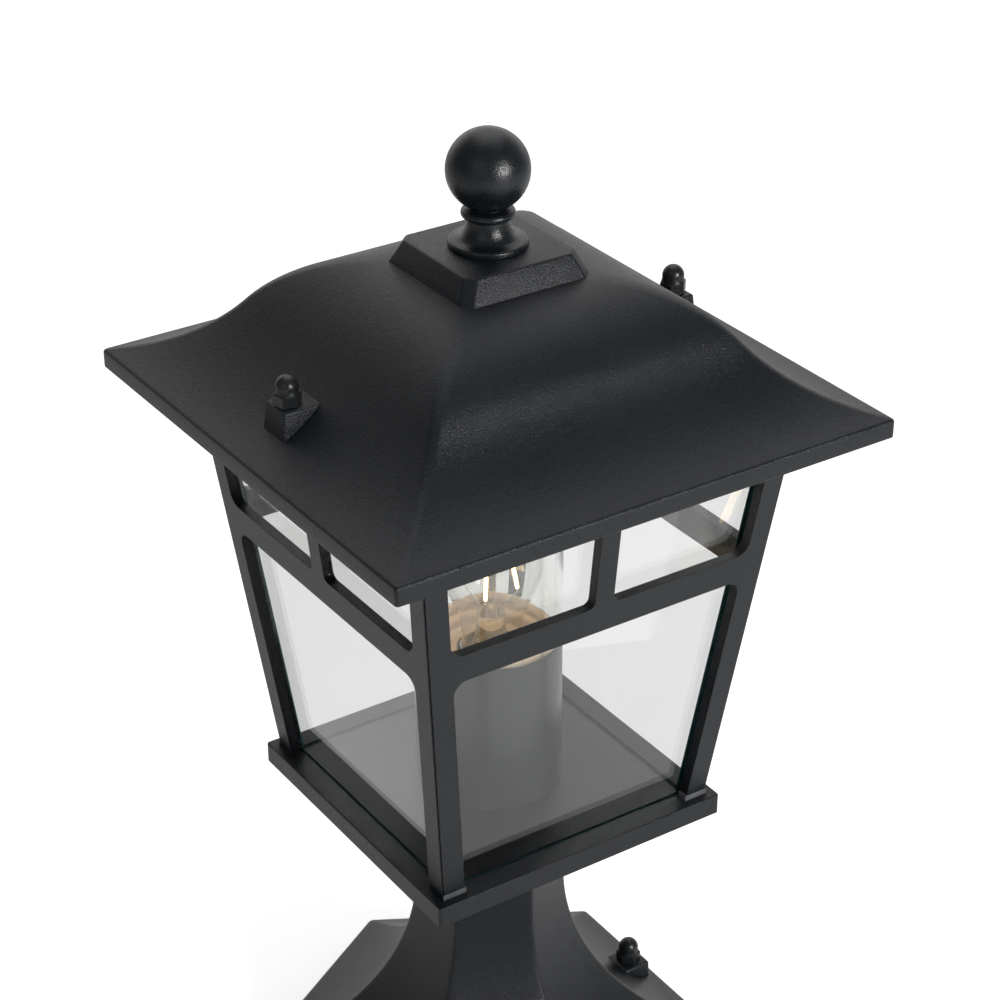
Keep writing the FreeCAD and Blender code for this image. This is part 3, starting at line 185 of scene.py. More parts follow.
def filleted(points, steps=5):
    """A polyline of (r, z, fillet radius) with its corners rounded."""
    out = []
    last = len(points) - 1
    for index, (r, z, radius) in enumerate(points):
        if radius <= 0 or index in (0, last):
            out.append((r, z))
            continue
        here = Vector((r, z))
        back = Vector(points[index - 1][:2]) - here
        ahead = Vector(points[index + 1][:2]) - here
        half = back.angle(ahead) / 2
        reach = radius / math.tan(half)
        start = here + back.normalized() * reach
        end = here + ahead.normalized() * reach
        bisector = (back.normalized() + ahead.normalized()).normalized()
        centre = here + bisector * radius / math.sin(half)
        first = math.atan2(start.y - centre.y, start.x - centre.x)
        turn = math.atan2(end.y - centre.y, end.x - centre.x) - first
        if turn > math.pi:
            turn -= 2 * math.pi
        if turn < -math.pi:
            turn += 2 * math.pi
        for step in range(steps + 1):
            angle = first + turn * step / steps
            out.append((centre.x + radius * math.cos(angle), centre.y + radius * math.sin(angle)))
    return out


def lathe(name, profile, segments=96, angle=32.0, centre=(0.0, 0.0), closed=False):
    """A turned piece from (r, z) points in mm; points on the axis close it."""
    work = bmesh.new()
    rings = []
    for r, z in profile:
        if r < 1e-6:
            rings.append([work.verts.new(Vector((centre[0], centre[1], z)) * MM)])
            continue
        ring = []
        for index in range(segments):
            turn = 2 * math.pi * index / segments
            ring.append(work.verts.new(Vector((
                centre[0] + r * math.cos(turn), centre[1] + r * math.sin(turn), z)) * MM))
        rings.append(ring)
    pairs = list(zip(rings, rings[1:]))
    if closed:
        pairs.append((rings[-1], rings[0]))
    for low, high in pairs:
        for index in range(segments):
            after = (index + 1) % segments
            if len(low) == 1 and len(high) == 1:
                break
            if len(low) == 1:
                work.faces.new((low[0], high[after], high[index]))
            elif len(high) == 1:
                work.faces.new((low[index], low[after], high[0]))
            else:
                work.faces.new((low[index], low[after], high[after], high[index]))
    return finish_mesh(name, work, angle)


def rounded_polygon(apothem, sides, radius, z, turn_deg=0.0, arc_steps=6, flat_steps=6):
    """Points of a regular polygon with rounded corners; a flat face looks along turn_deg."""
    step = 2 * math.pi / sides
    half_side = apothem * math.tan(step / 2)
    flat = half_side - radius * math.tan(step / 2)
    points = []
    for side in range(sides):
        face = math.radians(turn_deg) + side * step
        normal = Vector((math.cos(face), math.sin(face)))
        along = Vector((-math.sin(face), math.cos(face)))
        for index in range(flat_steps + 1):
            across = -flat + 2 * flat * index / flat_steps
            point = normal * apothem + along * across
            points.append((point.x, point.y, z))
        centre = normal * (apothem - radius) + along * flat
        for index in range(1, arc_steps):
            angle = face + step * index / arc_steps
            points.append((centre.x + radius * math.cos(angle), centre.y + radius * math.sin(angle), z))
    return points


def arc_points(centre, radius, first, last, steps):
    """Points of an arc from one angle to another, both ends included."""
    out = []
    for index in range(steps + 1):
        angle = first + (last - first) * index / steps
        out.append((centre[0] + radius * math.cos(angle), centre[1] + radius * math.sin(angle)))
    return out


def block(name, low, high, draft=0.0):
    """A block in mm whose sides lean in by the draft towards its top."""
    work = bmesh.new()
    rings = []
    for z, grow in ((low[2], draft), (high[2], 0.0)):
        rings.append([
            (low[0] - grow, low[1] - grow, z), (high[0] + grow, low[1] - grow, z),
            (high[0] + grow, high[1] + grow, z), (low[0] - grow, high[1] + grow, z)])
    skin(work, rings)
    return finish_mesh(name, work)


# ---------------------------------------------------------------- roof
def ogee():
    """Centres, radii and end angles of the two arcs of the roof's outer face."""
    first = math.radians(EAVE_SLOPE)
    steep = math.radians(STEEPEST_SLOPE)
    last = math.radians(CROWN_SLOPE)
    eave_x = ROOF_HALF - EAVE_ROUND * (1 - math.sin(first))
    eave_z = EAVE + EAVE_RIM + EAVE_ROUND * math.cos(first)
    bend_x = eave_x - FLARE_RADIUS * (math.sin(steep) - math.sin(first))
    bend_z = eave_z + FLARE_RADIUS * (math.cos(first) - math.cos(steep))
    crown_radius = (bend_x - PLINTH_FOOT) / (math.sin(steep) - math.sin(last))
    crown_z = bend_z + crown_radius * (math.cos(last) - math.cos(steep))
    return {
        "flare": (eave_x + FLARE_RADIUS * math.sin(first), eave_z + FLARE_RADIUS * math.cos(first)),
        "crown": (PLINTH_FOOT - crown_radius * math.sin(last), crown_z - crown_radius * math.cos(last)),
        "crown_radius": crown_radius, "crown_z": crown_z, "bend_x": bend_x,
        "first": first, "steep": steep, "last": last}


OGEE = ogee()
PLINTH_BOTTOM = OGEE["crown_z"]
PLINTH_Z = PLINTH_BOTTOM + PLINTH_HEIGHT


def roof_profile(wall):
    """(half width, z) from the eave up to the plinth, drawn in by the wall."""
    flare = arc_points(OGEE["flare"], FLARE_RADIUS + wall, -math.pi / 2 - OGEE["first"],
                       -math.pi / 2 - OGEE["steep"], 22)
    crown = arc_points(OGEE["crown"], OGEE["crown_radius"] - wall, math.pi / 2 - OGEE["steep"],
                       math.pi / 2 - OGEE["last"], 22)
    return flare + crown[1:]


def hip_radius(half):
    """The hips are crisp at the eave corners and grow rounder up to the crown."""
    bend = OGEE["bend_x"]
    if half > bend:
        return 1.5 + 2.5 * (ROOF_HALF - half) / (ROOF_HALF - bend)
    return 4.0 + 4.0 * min(1.0, (bend - half) / (bend - PLINTH_FOOT))


def roof_shell():
    """The ogee shell with its eave rim and its hollow side, closed across the crown."""
    outside = roof_profile(0)
    inside = roof_profile(ROOF_WALL)
    rim = arc_points((ROOF_HALF - EAVE_ROUND, EAVE + EAVE_RIM), EAVE_ROUND, 0,
                     math.pi / 2 - OGEE["first"], 5)
    lip = 0.5
    core = 4.0
    inner = ROOF_HALF - ROOF_WALL
    path = [(core, outside[-1][1])]
    path += list(reversed(outside))
    path += list(reversed(rim))[1:]
    path += arc_points((ROOF_HALF - lip, EAVE + lip), lip, 0, -math.pi / 2, 3)
    path += [(inner, EAVE), (inner, inside[0][1])]
    path += [point for point in inside if point[0] < inner]
    path += [(core, inside[-1][1])]
    work = bmesh.new()
    rings = []
    for half, z in path:
        radius = min(hip_radius(half), half * 0.7)
        rings.append(rounded_polygon(half, 4, radius, z, 0.0, 8, 10))
    skin(work, rings)
    return finish_mesh("roof_shell", work, 30)


def plinth():
    """The square block on the crown, with cut corners; its foot reaches into the shell."""
    foot_grow = 1.0
    foot_sink = 2.1
    work = bmesh.new()
    rings = []
    for half, z in ((PLINTH_FOOT + foot_grow, PLINTH_BOTTOM - foot_sink), (PLINTH_TOP, PLINTH_Z)):
        ring = []
        for quarter in range(4):
            turn = Matrix.Rotation(math.radians(90 * quarter), 3, "Z")
            for y in (-half + PLINTH_CUT, half - PLINTH_CUT):
                ring.append(tuple(turn @ Vector((half, y, z))))
        rings.append(ring)
    skin(work, rings)
    return bevel(finish_mesh("plinth", work), 0.9, 4, 20)


def roof_boss(side):
    """The shelf under a roof nut, drafted more at its outer end than at its sides."""
    inner = side * 72.0
    foot = (EAVE + 8.8, 99.4, 8.1)
    top = (ROOF_BOSS_TOP, 97.5, 7.3)
    work = bmesh.new()
    rings = []
    for z, reach, half in (foot, top):
        outer = side * reach
        ring = [(inner, -half, z), (outer, -half, z), (outer, half, z), (inner, half, z)]
        rings.append(ring if side > 0 else list(reversed(ring)))
    skin(work, rings)
    boss = bevel(finish_mesh("boss", work), 1.0, 4)
    low_x, high_x = sorted((side * 86.0, side * 98.0))
    post_half = 6.5
    post = block("post", (low_x, -post_half, 358.0), (high_x, post_half, 367.0))
    return [boss, bevel(post, 0.6)]


roof = joined("roof_casting", [roof_shell(), plinth()] + roof_boss(-1) + roof_boss(1))
smooth(roof.data, 30)
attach(roof, "roof")
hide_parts("roof")


# ---------------------------------------------------------------- finial
def finial_profile():
    """Foot, cove, collar, neck and ball, from the plinth up."""
    z = PLINTH_Z
    step_z = z + 3.6
    neck_z = z + 11.2
    foot_radius = 16.0
    cove_low = 13.2
    cove_high = 8.4
    cove_steps = 14
    collar_round = 1.8
    neck_radius = 7.0
    ball_radius = 16.7
    low = [(0, z, 0), (foot_radius, z, 0.4), (foot_radius, z + 2.6, 1.1), (13.6, z + 2.9, 0.3)]
    cove = []
    for index in range(1, cove_steps + 1):
        turn = index / cove_steps * math.pi / 2
        r = cove_low - (cove_low - cove_high) * math.sin(turn)
        cove.append((r, step_z - 0.5 + (neck_z - step_z + 0.5) * (1 - math.cos(turn))))
    collar_mid = neck_z + 0.6 + collar_round
    collar = arc_points((9.0, collar_mid), collar_round, -math.pi / 2, math.pi / 2, 10)
    centre_z = z + 31.2
    first = -math.acos(neck_radius / ball_radius)
    ball = arc_points((0.0, centre_z), ball_radius, first, math.pi / 2, 44)
    ball[-1] = (0.0, centre_z + ball_radius)
    return filleted(low) + cove + collar + [(neck_radius, collar_mid + 2.2)] + ball


finial = lathe("finial_ball", finial_profile(), 128, 35)
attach(finial, "roof")
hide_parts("finial")


# ---------------------------------------------------------------- pedestal
def pedestal_shell():
    """The six-sided casting: top plate, collar, flared column, rim and the hollow underneath."""
    centre_x = NECK_HALF + COLUMN_FLARE
    edge_x = BASE_HALF - RIM_INSET
    centre_z = FLANGE_HEIGHT + math.sqrt(COLUMN_FLARE ** 2 - (centre_x - edge_x) ** 2)
    slope = math.asin((centre_x - edge_x) / COLUMN_FLARE)
    rim_radius = RIM_INSET / (1 - math.sin(slope))
    rim_centre = (BASE_HALF - rim_radius, FLANGE_HEIGHT - rim_radius * math.cos(slope))
    end_angle = math.pi + math.acos((centre_x - edge_x) / COLUMN_FLARE)
    collar = NECK_HALF + 4.5
    core = 6.0
    top_plate = 6.0
    rim_lip = 0.6
    corner_round = 2.4
    path = [(core, PEDESTAL_TOP), (collar - 0.5, PEDESTAL_TOP), (collar, PEDESTAL_TOP - 0.5),
            (collar, PEDESTAL_TOP - 4.0), (NECK_HALF, PEDESTAL_TOP - 8.5)]
    path += arc_points((centre_x, centre_z), COLUMN_FLARE, math.pi, end_angle, 40)
    path += arc_points(rim_centre, rim_radius, math.pi / 2 - slope, 0, 8)[1:]
    path += arc_points((BASE_HALF - rim_lip, rim_lip), rim_lip, 0, -math.pi / 2, 3)
    inner = BASE_HALF - RIM_WALL
    inner_radius = COLUMN_FLARE + CASTING_WALL
    inner_end = math.pi + math.acos((centre_x - inner) / inner_radius)
    path += [(inner, 0.0)]
    path += list(reversed(arc_points((centre_x, centre_z), inner_radius, math.pi, inner_end, 24)))
    path += [(NECK_HALF - CASTING_WALL, PEDESTAL_TOP - top_plate),
             (core, PEDESTAL_TOP - top_plate)]
    work = bmesh.new()
    rings = []
    for apothem, z in path:
        radius = min(corner_round, apothem * 0.5)
        rings.append(rounded_polygon(apothem, 6, radius, z, 0.0, 6, 10))
    skin(work, rings)
    return finish_mesh("pedestal_shell", work, 30)


def base_boss(side):
    """The drafted block under a base nut, which grows out of the flare."""
    x = side * BASE_NUT_X
    half = 7.3
    foot_z = 15.0
    boss = block("boss", (x - half, -half, foot_z), (x + half, half, BASE_BOSS_TOP), 0.4)
    return bevel(boss, 1.2, 4)


pedestal = joined("pedestal_casting", [pedestal_shell(), base_boss(-1), base_boss(1)])
smooth(pedestal.data, 30)
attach(pedestal, "base")
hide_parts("pedestal")


# ---------------------------------------------------------------- cap nuts
def cap_nut(name, x, bottom, turn_deg):
    """Acorn nut: chamfered hexagon, small turned collar and a round dome."""
    work = bmesh.new()
    cut_corner = 5.2
    full_corner = 5.77
    rings = []
    for apothem, z, corner in ((4.6, 0.0, cut_corner), (5.0, 0.35, full_corner),
                               (5.0, 4.55, full_corner), (4.72, 5.0, cut_corner)):
        ring = rounded_polygon(apothem, 6, 0.25, bottom + z, turn_deg, 3, 4)
        shaped = []
        for px, py, pz in ring:
            scale = min(1.0, corner / math.hypot(px, py))
            shaped.append((x + px * scale, py * scale, pz))
        rings.append(shaped)
    skin(work, rings)
    hexagon = finish_mesh("hexagon", work, 25)
    collar = 4.75
    dome_z = bottom + NUT_HEIGHT - NUT_DOME
    profile = [(0.0, bottom + 4.0), (collar, bottom + 4.0), (collar, bottom + 5.2),
               (NUT_DOME, bottom + 5.5)]
    dome = arc_points((0.0, dome_z), NUT_DOME, 0.0, math.pi / 2, 20)
    dome[-1] = (0.0, dome_z + NUT_DOME)
    cap = lathe("cap", profile + dome, 64, 40, (x, 0.0))
    nut = joined(name, [hexagon, cap])
    smooth(nut.data, 28)
    return nut


ROOF_NUT_TURN = 14.0
BASE_NUT_TURN = -8.0
for label, x in (("left", -ROOF_NUT_X), ("right", ROOF_NUT_X)):
    nut = cap_nut("roof_nut_" + label + "_cap", x, ROOF_BOSS_TOP, ROOF_NUT_TURN)
    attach(nut, "roof_nut_" + label)
    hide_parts("roof_cap_nut_" + label)
for label, x in (("left", -BASE_NUT_X), ("right", BASE_NUT_X)):
    nut = cap_nut("base_nut_" + label + "_cap", x, BASE_BOSS_TOP, BASE_NUT_TURN)
    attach(nut, "base_nut_" + label)
    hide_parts("base_cap_nut_" + label)


# ---------------------------------------------------------------- lamp
def tube_profile():
    inner = TUBE_RADIUS - TUBE_WALL
    bore = 5.15
    floor_z = TRAY_TOP + 2.0
    return filleted([
        (bore, TRAY_TOP, 0), (TUBE_RADIUS, TRAY_TOP, 1.2), (TUBE_RADIUS, TUBE_TOP, 0.5),
        (inner, TUBE_TOP, 0.4), (inner, floor_z, 1.0), (bore, floor_z, 0)])


tube = lathe("lamp_tube_spun", tube_profile(), 128, 35, closed=True)
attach(tube, "base")
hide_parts("lamp_tube")

# The dish's wall rolls in to an upper bead, back to a groove and in again to a lower bead.
dish_bore = 19.8
dish_floor = FLANGE_HIGH + 1.2
dish_outer = TUBE_RADIUS - CYLINDER_WALL - 0.3
dish_high = TUBE_TOP + 2.0
upper_bead = dish_outer - 4.2
groove = dish_outer - 2.0
lower_bead = dish_outer - 4.8
dish = lathe("lamp_dish_spun", filleted([
    (dish_bore, FLANGE_HIGH, 0), (dish_outer, FLANGE_HIGH, 1.6), (dish_outer, dish_high, 1.6),
    (upper_bead, dish_high, 1.7), (upper_bead, dish_high - 3.6, 1.2),
    (groove, dish_high - 3.6, 0.7), (groove, dish_high - 6.0, 0.7),
    (lower_bead, dish_high - 6.0, 1.4), (lower_bead, dish_floor, 0.4),
    (dish_bore, dish_floor, 0)]), 128, 35, closed=True)
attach(dish, "base")
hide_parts("lamp_dish")


def shade_ring():
    """Screwed ring with ribs round its edge for the fingers."""
    work = bmesh.new()
    low = dish_floor
    high = low + 4.0
    bore = 19.55
    root = 22.0
    ribs = 24
    rib_height = 0.5
    count = 288
    rows = []
    for z, grow, inner in ((low, 0.0, False), (high - 0.5, 0.0, False), (high, -0.5, False),
                           (high, 0.4, True), (low, 0.0, True)):
        row = []
        for index in range(count):
            turn = 2 * math.pi * index / count
            if inner:
                r = bore + grow
            else:
                rib = max(0.0, math.cos(turn * ribs)) ** 0.7
                r = root + rib_height * rib + grow
            row.append((r * math.cos(turn), r * math.sin(turn), z))
        rows.append(row)
    made = skin(work, rows, False, False)
    for index in range(count):
        after = (index + 1) % count
        work.faces.new((made[-1][index], made[-1][after], made[0][after], made[0][index]))
    return finish_mesh("shade_ring_ribbed", work, 40)


ring = shade_ring()
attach(ring, "base")
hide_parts("shade_ring")

cylinder_bore = TUBE_RADIUS - CYLINDER_WALL
cylinder_foot = TUBE_TOP + 0.02
cylinder_high = TUBE_TOP + CYLINDER_HEIGHT
cylinder = lathe("glass_cylinder_ground", filleted([
    (cylinder_bore, cylinder_foot, 0), (TUBE_RADIUS, cylinder_foot, 0.4),
    (TUBE_RADIUS, cylinder_high, 1.1), (cylinder_bore, cylinder_high, 1.1),
    (cylinder_bore, cylinder_foot, 0.0)], 6)[:-1], 160, 60, closed=True)
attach(cylinder, "base")
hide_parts("glass_cylinder")


# ---------------------------------------------------------------- bulb
def bulb_curve(inset):
    """Neck, shoulder and head of the bulb, drawn in by the glass."""
    radius = BULB_RADIUS - inset
    neck = BULB_NECK - inset
    head_z = GLASS_TOP - BULB_RADIUS
    tangent_angle = math.radians(-18)
    tangent = (radius * math.cos(tangent_angle), head_z + radius * math.sin(tangent_angle))
    start = (neck, CAP_HIGH + 6.0)
    direction = (-math.sin(tangent_angle), math.cos(tangent_angle))
    length = tangent[1] - start[1]
    neck_pull = length * 1.1
    head_pull = length * 1.2
    points = [(neck, CAP_HIGH - 5.0), (neck, CAP_HIGH)]
    steps = 20
    for index in range(steps + 1):
        t = index / steps
        h00 = 2 * t ** 3 - 3 * t ** 2 + 1
        h10 = t ** 3 - 2 * t ** 2 + t
        h01 = -2 * t ** 3 + 3 * t ** 2
        h11 = t ** 3 - t ** 2
        r = h00 * start[0] + h01 * tangent[0] + h11 * direction[0] * head_pull
        z = h00 * start[1] + h10 * neck_pull + h01 * tangent[1] + h11 * direction[1] * head_pull
        points.append((r, z))
    head = arc_points((0.0, head_z), radius, tangent_angle, math.pi / 2, 30)[1:]
    head[-1] = (0.0, head_z + radius)
    return points + head


bulb = lathe("bulb_blown_glass", bulb_curve(0) + list(reversed(bulb_curve(BULB_WALL))), 128, 60,
             closed=True)
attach(bulb, "bulb")
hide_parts("bulb_glass")


def thread(name, low, high, radius, depth, turns, wall, segments=96):
    """A thin rolled screw shell whose thread climbs round it."""
    work = bmesh.new()
    rows = []
    steps = 72
    for index in range(steps + 1):
        z = low + (high - low) * index / steps
        row = []
        fade = min(1.0, index / 6, (steps - index) / 6)
        for spoke in range(segments):
            turn = 2 * math.pi * spoke / segments
            wave = 0.5 - 0.5 * math.cos(2 * math.pi * turns * (z - low) / (high - low) - turn)
            r = radius - depth * wave * fade
            row.append((r * math.cos(turn), r * math.sin(turn), z))
        rows.append(row)
    for index in range(steps, -1, -1):
        z = low + (high - low) * index / steps
        rows.append([(p[0] * (1 - wall / radius), p[1] * (1 - wall / radius), z) for p in rows[index]])
    made = skin(work, rows, False, False)
    for spoke in range(segments):
        after = (spoke + 1) % segments
        work.faces.new((made[-1][spoke], made[-1][after], made[0][after], made[0][spoke]))
    return finish_mesh(name, work, 50)


skirt_low = CAP_HIGH - 4.6
screw_shell = thread("bulb_screw_cap", CAP_LOW + 1.5, CAP_HIGH - 4.5, CAP_RADIUS,
                     depth=1.0, turns=5.0, wall=0.4)
cap_skirt = lathe("cap_skirt", filleted([
    (12.0, skirt_low, 0), (CAP_RADIUS, skirt_low, 0.2), (CAP_RADIUS, CAP_HIGH, 0.3),
    (12.45, CAP_HIGH, 0)]), 96, 35, closed=True)
cap_foot = lathe("cap_foot", filleted([
    (8.0, CAP_LOW, 0), (8.5, CAP_LOW, 0.3), (13.0, CAP_LOW + 1.6, 0.5), (12.5, CAP_LOW + 2.0, 0)]),
    96, 35, closed=True)
cap = joined("bulb_cap_rolled", [screw_shell, cap_skirt, cap_foot])
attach(cap, "bulb")
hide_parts("bulb_cap")

stem_z = CAP_HIGH - 4.5
stem = lathe("bulb_stem_drawn", filleted([
    (0.0, stem_z, 0), (11.4, stem_z, 0.6), (6.8, stem_z + 8.0, 3.0), (6.0, stem_z + 20.0, 1.6),
    (2.2, stem_z + 25.0, 1.6), (2.0, stem_z + 45.0, 1.5), (2.2, stem_z + 53.0, 1.2),
    (0.0, stem_z + 54.0, 0)], 6), 64, 50)
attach(stem, "bulb")
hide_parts("bulb_stem")


def filament_ends(index):
    """Foot and head of one stick; the sticks stand apart at their feet and lean together."""
    turn = math.radians(45 + 90 * index)
    low = CAP_HIGH + 27.0
    high = low + 22.0
    foot_out = 11.5
    head_out = 7.5
    foot = Vector((foot_out * math.cos(turn), foot_out * math.sin(turn), low))
    head = Vector((head_out * math.cos(turn), head_out * math.sin(turn), high))
    return foot, head


def swept(name, points, radius, segments=16):
    """A round rod through points in mm, with domed ends."""
    work = bmesh.new()
    points = [Vector(point) for point in points]
    first = (points[1] - points[0]).normalized()
    last = (points[-1] - points[-2]).normalized()
    rows = []
    for share in (0.15, 0.55, 0.85):
        rows.append((points[0] - first * radius * math.sqrt(1 - share ** 2), first, radius * share))
    for index, point in enumerate(points):
        ahead = points[min(index + 1, len(points) - 1)] - points[max(index - 1, 0)]
        rows.append((point, ahead.normalized(), radius))
    for share in (0.85, 0.55, 0.15):
        rows.append((points[-1] + last * radius * math.sqrt(1 - share ** 2), last, radius * share))
    side = first.orthogonal().normalized()
    rings = []
    for point, along, r in rows:
        side = (side - along * side.dot(along)).normalized()
        other = along.cross(side)
        ring = []
        for spoke in range(segments):
            turn = 2 * math.pi * spoke / segments
            ring.append(tuple(point + side * math.cos(turn) * r + other * math.sin(turn) * r))
        rings.append(ring)
    skin(work, rings)
    return finish_mesh(name, work, 60)


STICK_RADIUS = 0.85
STICK_SHARES = (0.04, 0.3, 0.6, 0.96)
sticks = []
for index in range(4):
    foot, head = filament_ends(index)
    run = head - foot
    sticks.append(swept("stick", [foot + run * share for share in STICK_SHARES], STICK_RADIUS))
filaments = joined("filament_sticks", sticks)
smooth(filaments.data, 60)
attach(filaments, "bulb")
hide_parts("filaments")


# ---------------------------------------------------------------- materials
GRAIN_DEPTH = 0.0008
DRIFT_SCALE = 26.0
METAL_SCALE = 400.0
PLASTIC_SCALE = 250.0
GLASS_IOR = 1.46
# Painted lamplight: the colour and emission strengths that stand in for the filaments' warm light on
# the dish and holder.
PAINTED_LAMPLIGHT_COLOUR = (1.0, 0.68, 0.38, 1.0)
PAINTED_LAMPLIGHT_FACING_DOWN = 0.02
PAINTED_LAMPLIGHT_FACING_UP = 0.34
WHITE = (1.0, 1.0, 1.0, 1.0)


def material(name):
    mat = bpy.data.materials.new(name)
    mat.use_nodes = True
    tree = mat.node_tree
    shader = tree.nodes["Principled BSDF"]
    return mat, tree, shader


def noise(tree, scale, detail=3.0, rough=0.55):
    coords = tree.nodes.new("ShaderNodeTexCoord")
    tex = tree.nodes.new("ShaderNodeTexNoise")
    tex.inputs["Scale"].default_value = scale
    tex.inputs["Detail"].default_value = detail
    tex.inputs["Roughness"].default_value = rough
    tree.links.new(coords.outputs["Object"], tex.inputs["Vector"])
    return tex


def ramp(tree, source, low, high, low_colour, high_colour):
    """A colour between two, by where the source stands between low and high."""
    node = tree.nodes.new("ShaderNodeValToRGB")
    node.color_ramp.elements[0].position = low
    node.color_ramp.elements[0].color = tuple(low_colour) + (1.0,)
    node.color_ramp.elements[1].position = high
    node.color_ramp.elements[1].color = tuple(high_colour) + (1.0,)
    tree.links.new(source, node.inputs["Fac"])
    return node


def spread(tree, source, low, high, to_low, to_high):
    """The source's range from low to high, mapped to another range."""
    node = tree.nodes.new("ShaderNodeMapRange")
    node.inputs["From Min"].default_value = low
    node.inputs["From Max"].default_value = high
    node.inputs["To Min"].default_value = to_low
    node.inputs["To Max"].default_value = to_high
    tree.links.new(source, node.inputs["Value"])
    return node


def bump(tree, source, strength, distance, normal=None):
    node = tree.nodes.new("ShaderNodeBump")
    node.inputs["Strength"].default_value = strength
    node.inputs["Distance"].default_value = distance
    tree.links.new(source, node.inputs["Height"])
    if normal is not None:
        tree.links.new(normal, node.inputs["Normal"])
    return node


def soft_edges(tree, radius_mm):
    node = tree.nodes.new("ShaderNodeBevel")
    node.samples = 4
    node.inputs["Radius"].default_value = radius_mm * MM
    return node


def painted(name, dark, light, rough, grain, grain_strength, edge_mm=0.0, gloss_level=0.5):
    """Powder coat: fine leathery grain, faint colour drift and slightly uneven gloss."""
    mat, tree, shader = material(name)
    fine = noise(tree, grain, 4.0, 0.6)
    drift = noise(tree, DRIFT_SCALE, 3.0)
    colour = ramp(tree, drift.outputs["Fac"], 0.3, 0.7, dark, light)
    tree.links.new(colour.outputs["Color"], shader.inputs["Base Color"])
    gloss = spread(tree, fine.outputs["Fac"], 0.3, 0.7, rough - 0.05, rough + 0.06)
    tree.links.new(gloss.outputs["Result"], shader.inputs["Roughness"])
    normal = soft_edges(tree, edge_mm).outputs["Normal"] if edge_mm else None
    grain_bump = bump(tree, fine.outputs["Fac"], grain_strength, GRAIN_DEPTH, normal)
    tree.links.new(grain_bump.outputs["Normal"], shader.inputs["Normal"])
    shader.inputs["Specular IOR Level"].default_value = gloss_level
    return mat


def metal(name, dark, light, rough):
    """Plated or drawn metal with a faint uneven gloss."""
    mat, tree, shader = material(name)
    tex = noise(tree, METAL_SCALE, 4.0)
    colour = ramp(tree, tex.outputs["Fac"], 0.3, 0.7, dark, light)
    tree.links.new(colour.outputs["Color"], shader.inputs["Base Color"])
    gloss = spread(tree, tex.outputs["Fac"], 0.3, 0.7, rough - 0.06, rough + 0.08)
    tree.links.new(gloss.outputs["Result"], shader.inputs["Roughness"])
    fine = bump(tree, tex.outputs["Fac"], 0.2, 0.00005)
    tree.links.new(fine.outputs["Normal"], shader.inputs["Normal"])
    shader.inputs["Metallic"].default_value = 1.0
    return mat


def plastic(name, dark, light, rough):
    """Moulded plastic, ceramic or rubber, by its colour and roughness."""
    mat, tree, shader = material(name)
    tex = noise(tree, PLASTIC_SCALE, 3.0)
    colour = ramp(tree, tex.outputs["Fac"], 0.3, 0.7, dark, light)
    tree.links.new(colour.outputs["Color"], shader.inputs["Base Color"])
    gloss = spread(tree, tex.outputs["Fac"], 0.3, 0.7, rough - 0.04, rough + 0.05)
    tree.links.new(gloss.outputs["Result"], shader.inputs["Roughness"])
    fine = bump(tree, tex.outputs["Fac"], 0.15, 0.00006)
    tree.links.new(fine.outputs["Normal"], shader.inputs["Normal"])
    return mat


def clear_glass(name, tint, wave=0.02, painted_lamplight=None, painted_lamplight_strength=0.0):
    """Clear glass with a faint ripple; painted lamplight, given as emission, adds the light of the
    filaments in it.
    """
    mat, tree, shader = material(name)
    tex = noise(tree, 18.0, 2.0)
    brighter = tuple(min(1.0, channel * 1.01) for channel in tint)
    colour = ramp(tree, tex.outputs["Fac"], 0.3, 0.7, tint, brighter)
    tree.links.new(colour.outputs["Color"], shader.inputs["Base Color"])
    shader.inputs["Transmission Weight"].default_value = 1.0
    shader.inputs["IOR"].default_value = GLASS_IOR
    shader.inputs["Roughness"].default_value = 0.0
    ripple = bump(tree, tex.outputs["Fac"], wave, 0.0004)
    tree.links.new(ripple.outputs["Normal"], shader.inputs["Normal"])
    if painted_lamplight:
        shader.inputs["Emission Color"].default_value = tuple(painted_lamplight) + (1.0,)
        shader.inputs["Emission Strength"].default_value = painted_lamplight_strength
    return mat


def add_painted_lamplight(mat, strength):
    """Paints the warm light that the lit filaments above throw on a piece as emission, most where it
    faces up: painted lamplight.
    """
    tree = mat.node_tree
    shader = tree.nodes["Principled BSDF"]
    shape = tree.nodes.new("ShaderNodeNewGeometry")
    parts = tree.nodes.new("ShaderNodeSeparateXYZ")
    tree.links.new(shape.outputs["Normal"], parts.inputs["Vector"])
    painted_lamplight = spread(tree, parts.outputs["Z"], -0.3, 1.0, PAINTED_LAMPLIGHT_FACING_DOWN, strength)
    tree.links.new(painted_lamplight.outputs["Result"], shader.inputs["Emission Strength"])
    shader.inputs["Emission Color"].default_value = PAINTED_LAMPLIGHT_COLOUR
    return mat


# Paints: two colours, roughness, grain scale and strength, edge rounding in mm, gloss level.
PAINT = painted("powder_coat_black", (0.0045, 0.0057, 0.0075), (0.0068, 0.0083, 0.0105),
                0.3, 1500.0, 0.4, 0.35, 0.28)
TUBE_PAINT = painted("lamp_tube_satin", (0.013, 0.015, 0.015), (0.017, 0.019, 0.019),
                     0.32, 500.0, 0.008, 0.0, 0.5)
PAINT_BALL = painted("semi_gloss_black", (0.0042, 0.0055, 0.0072), (0.006, 0.0075, 0.0095),
                     0.27, 1200.0, 0.2, 0.0, 0.36)
NUT_BLACK = painted("nut_black_finish", (0.006, 0.007, 0.008), (0.010, 0.011, 0.012),
                    0.28, 1500.0, 0.12, 0.0, 0.36)
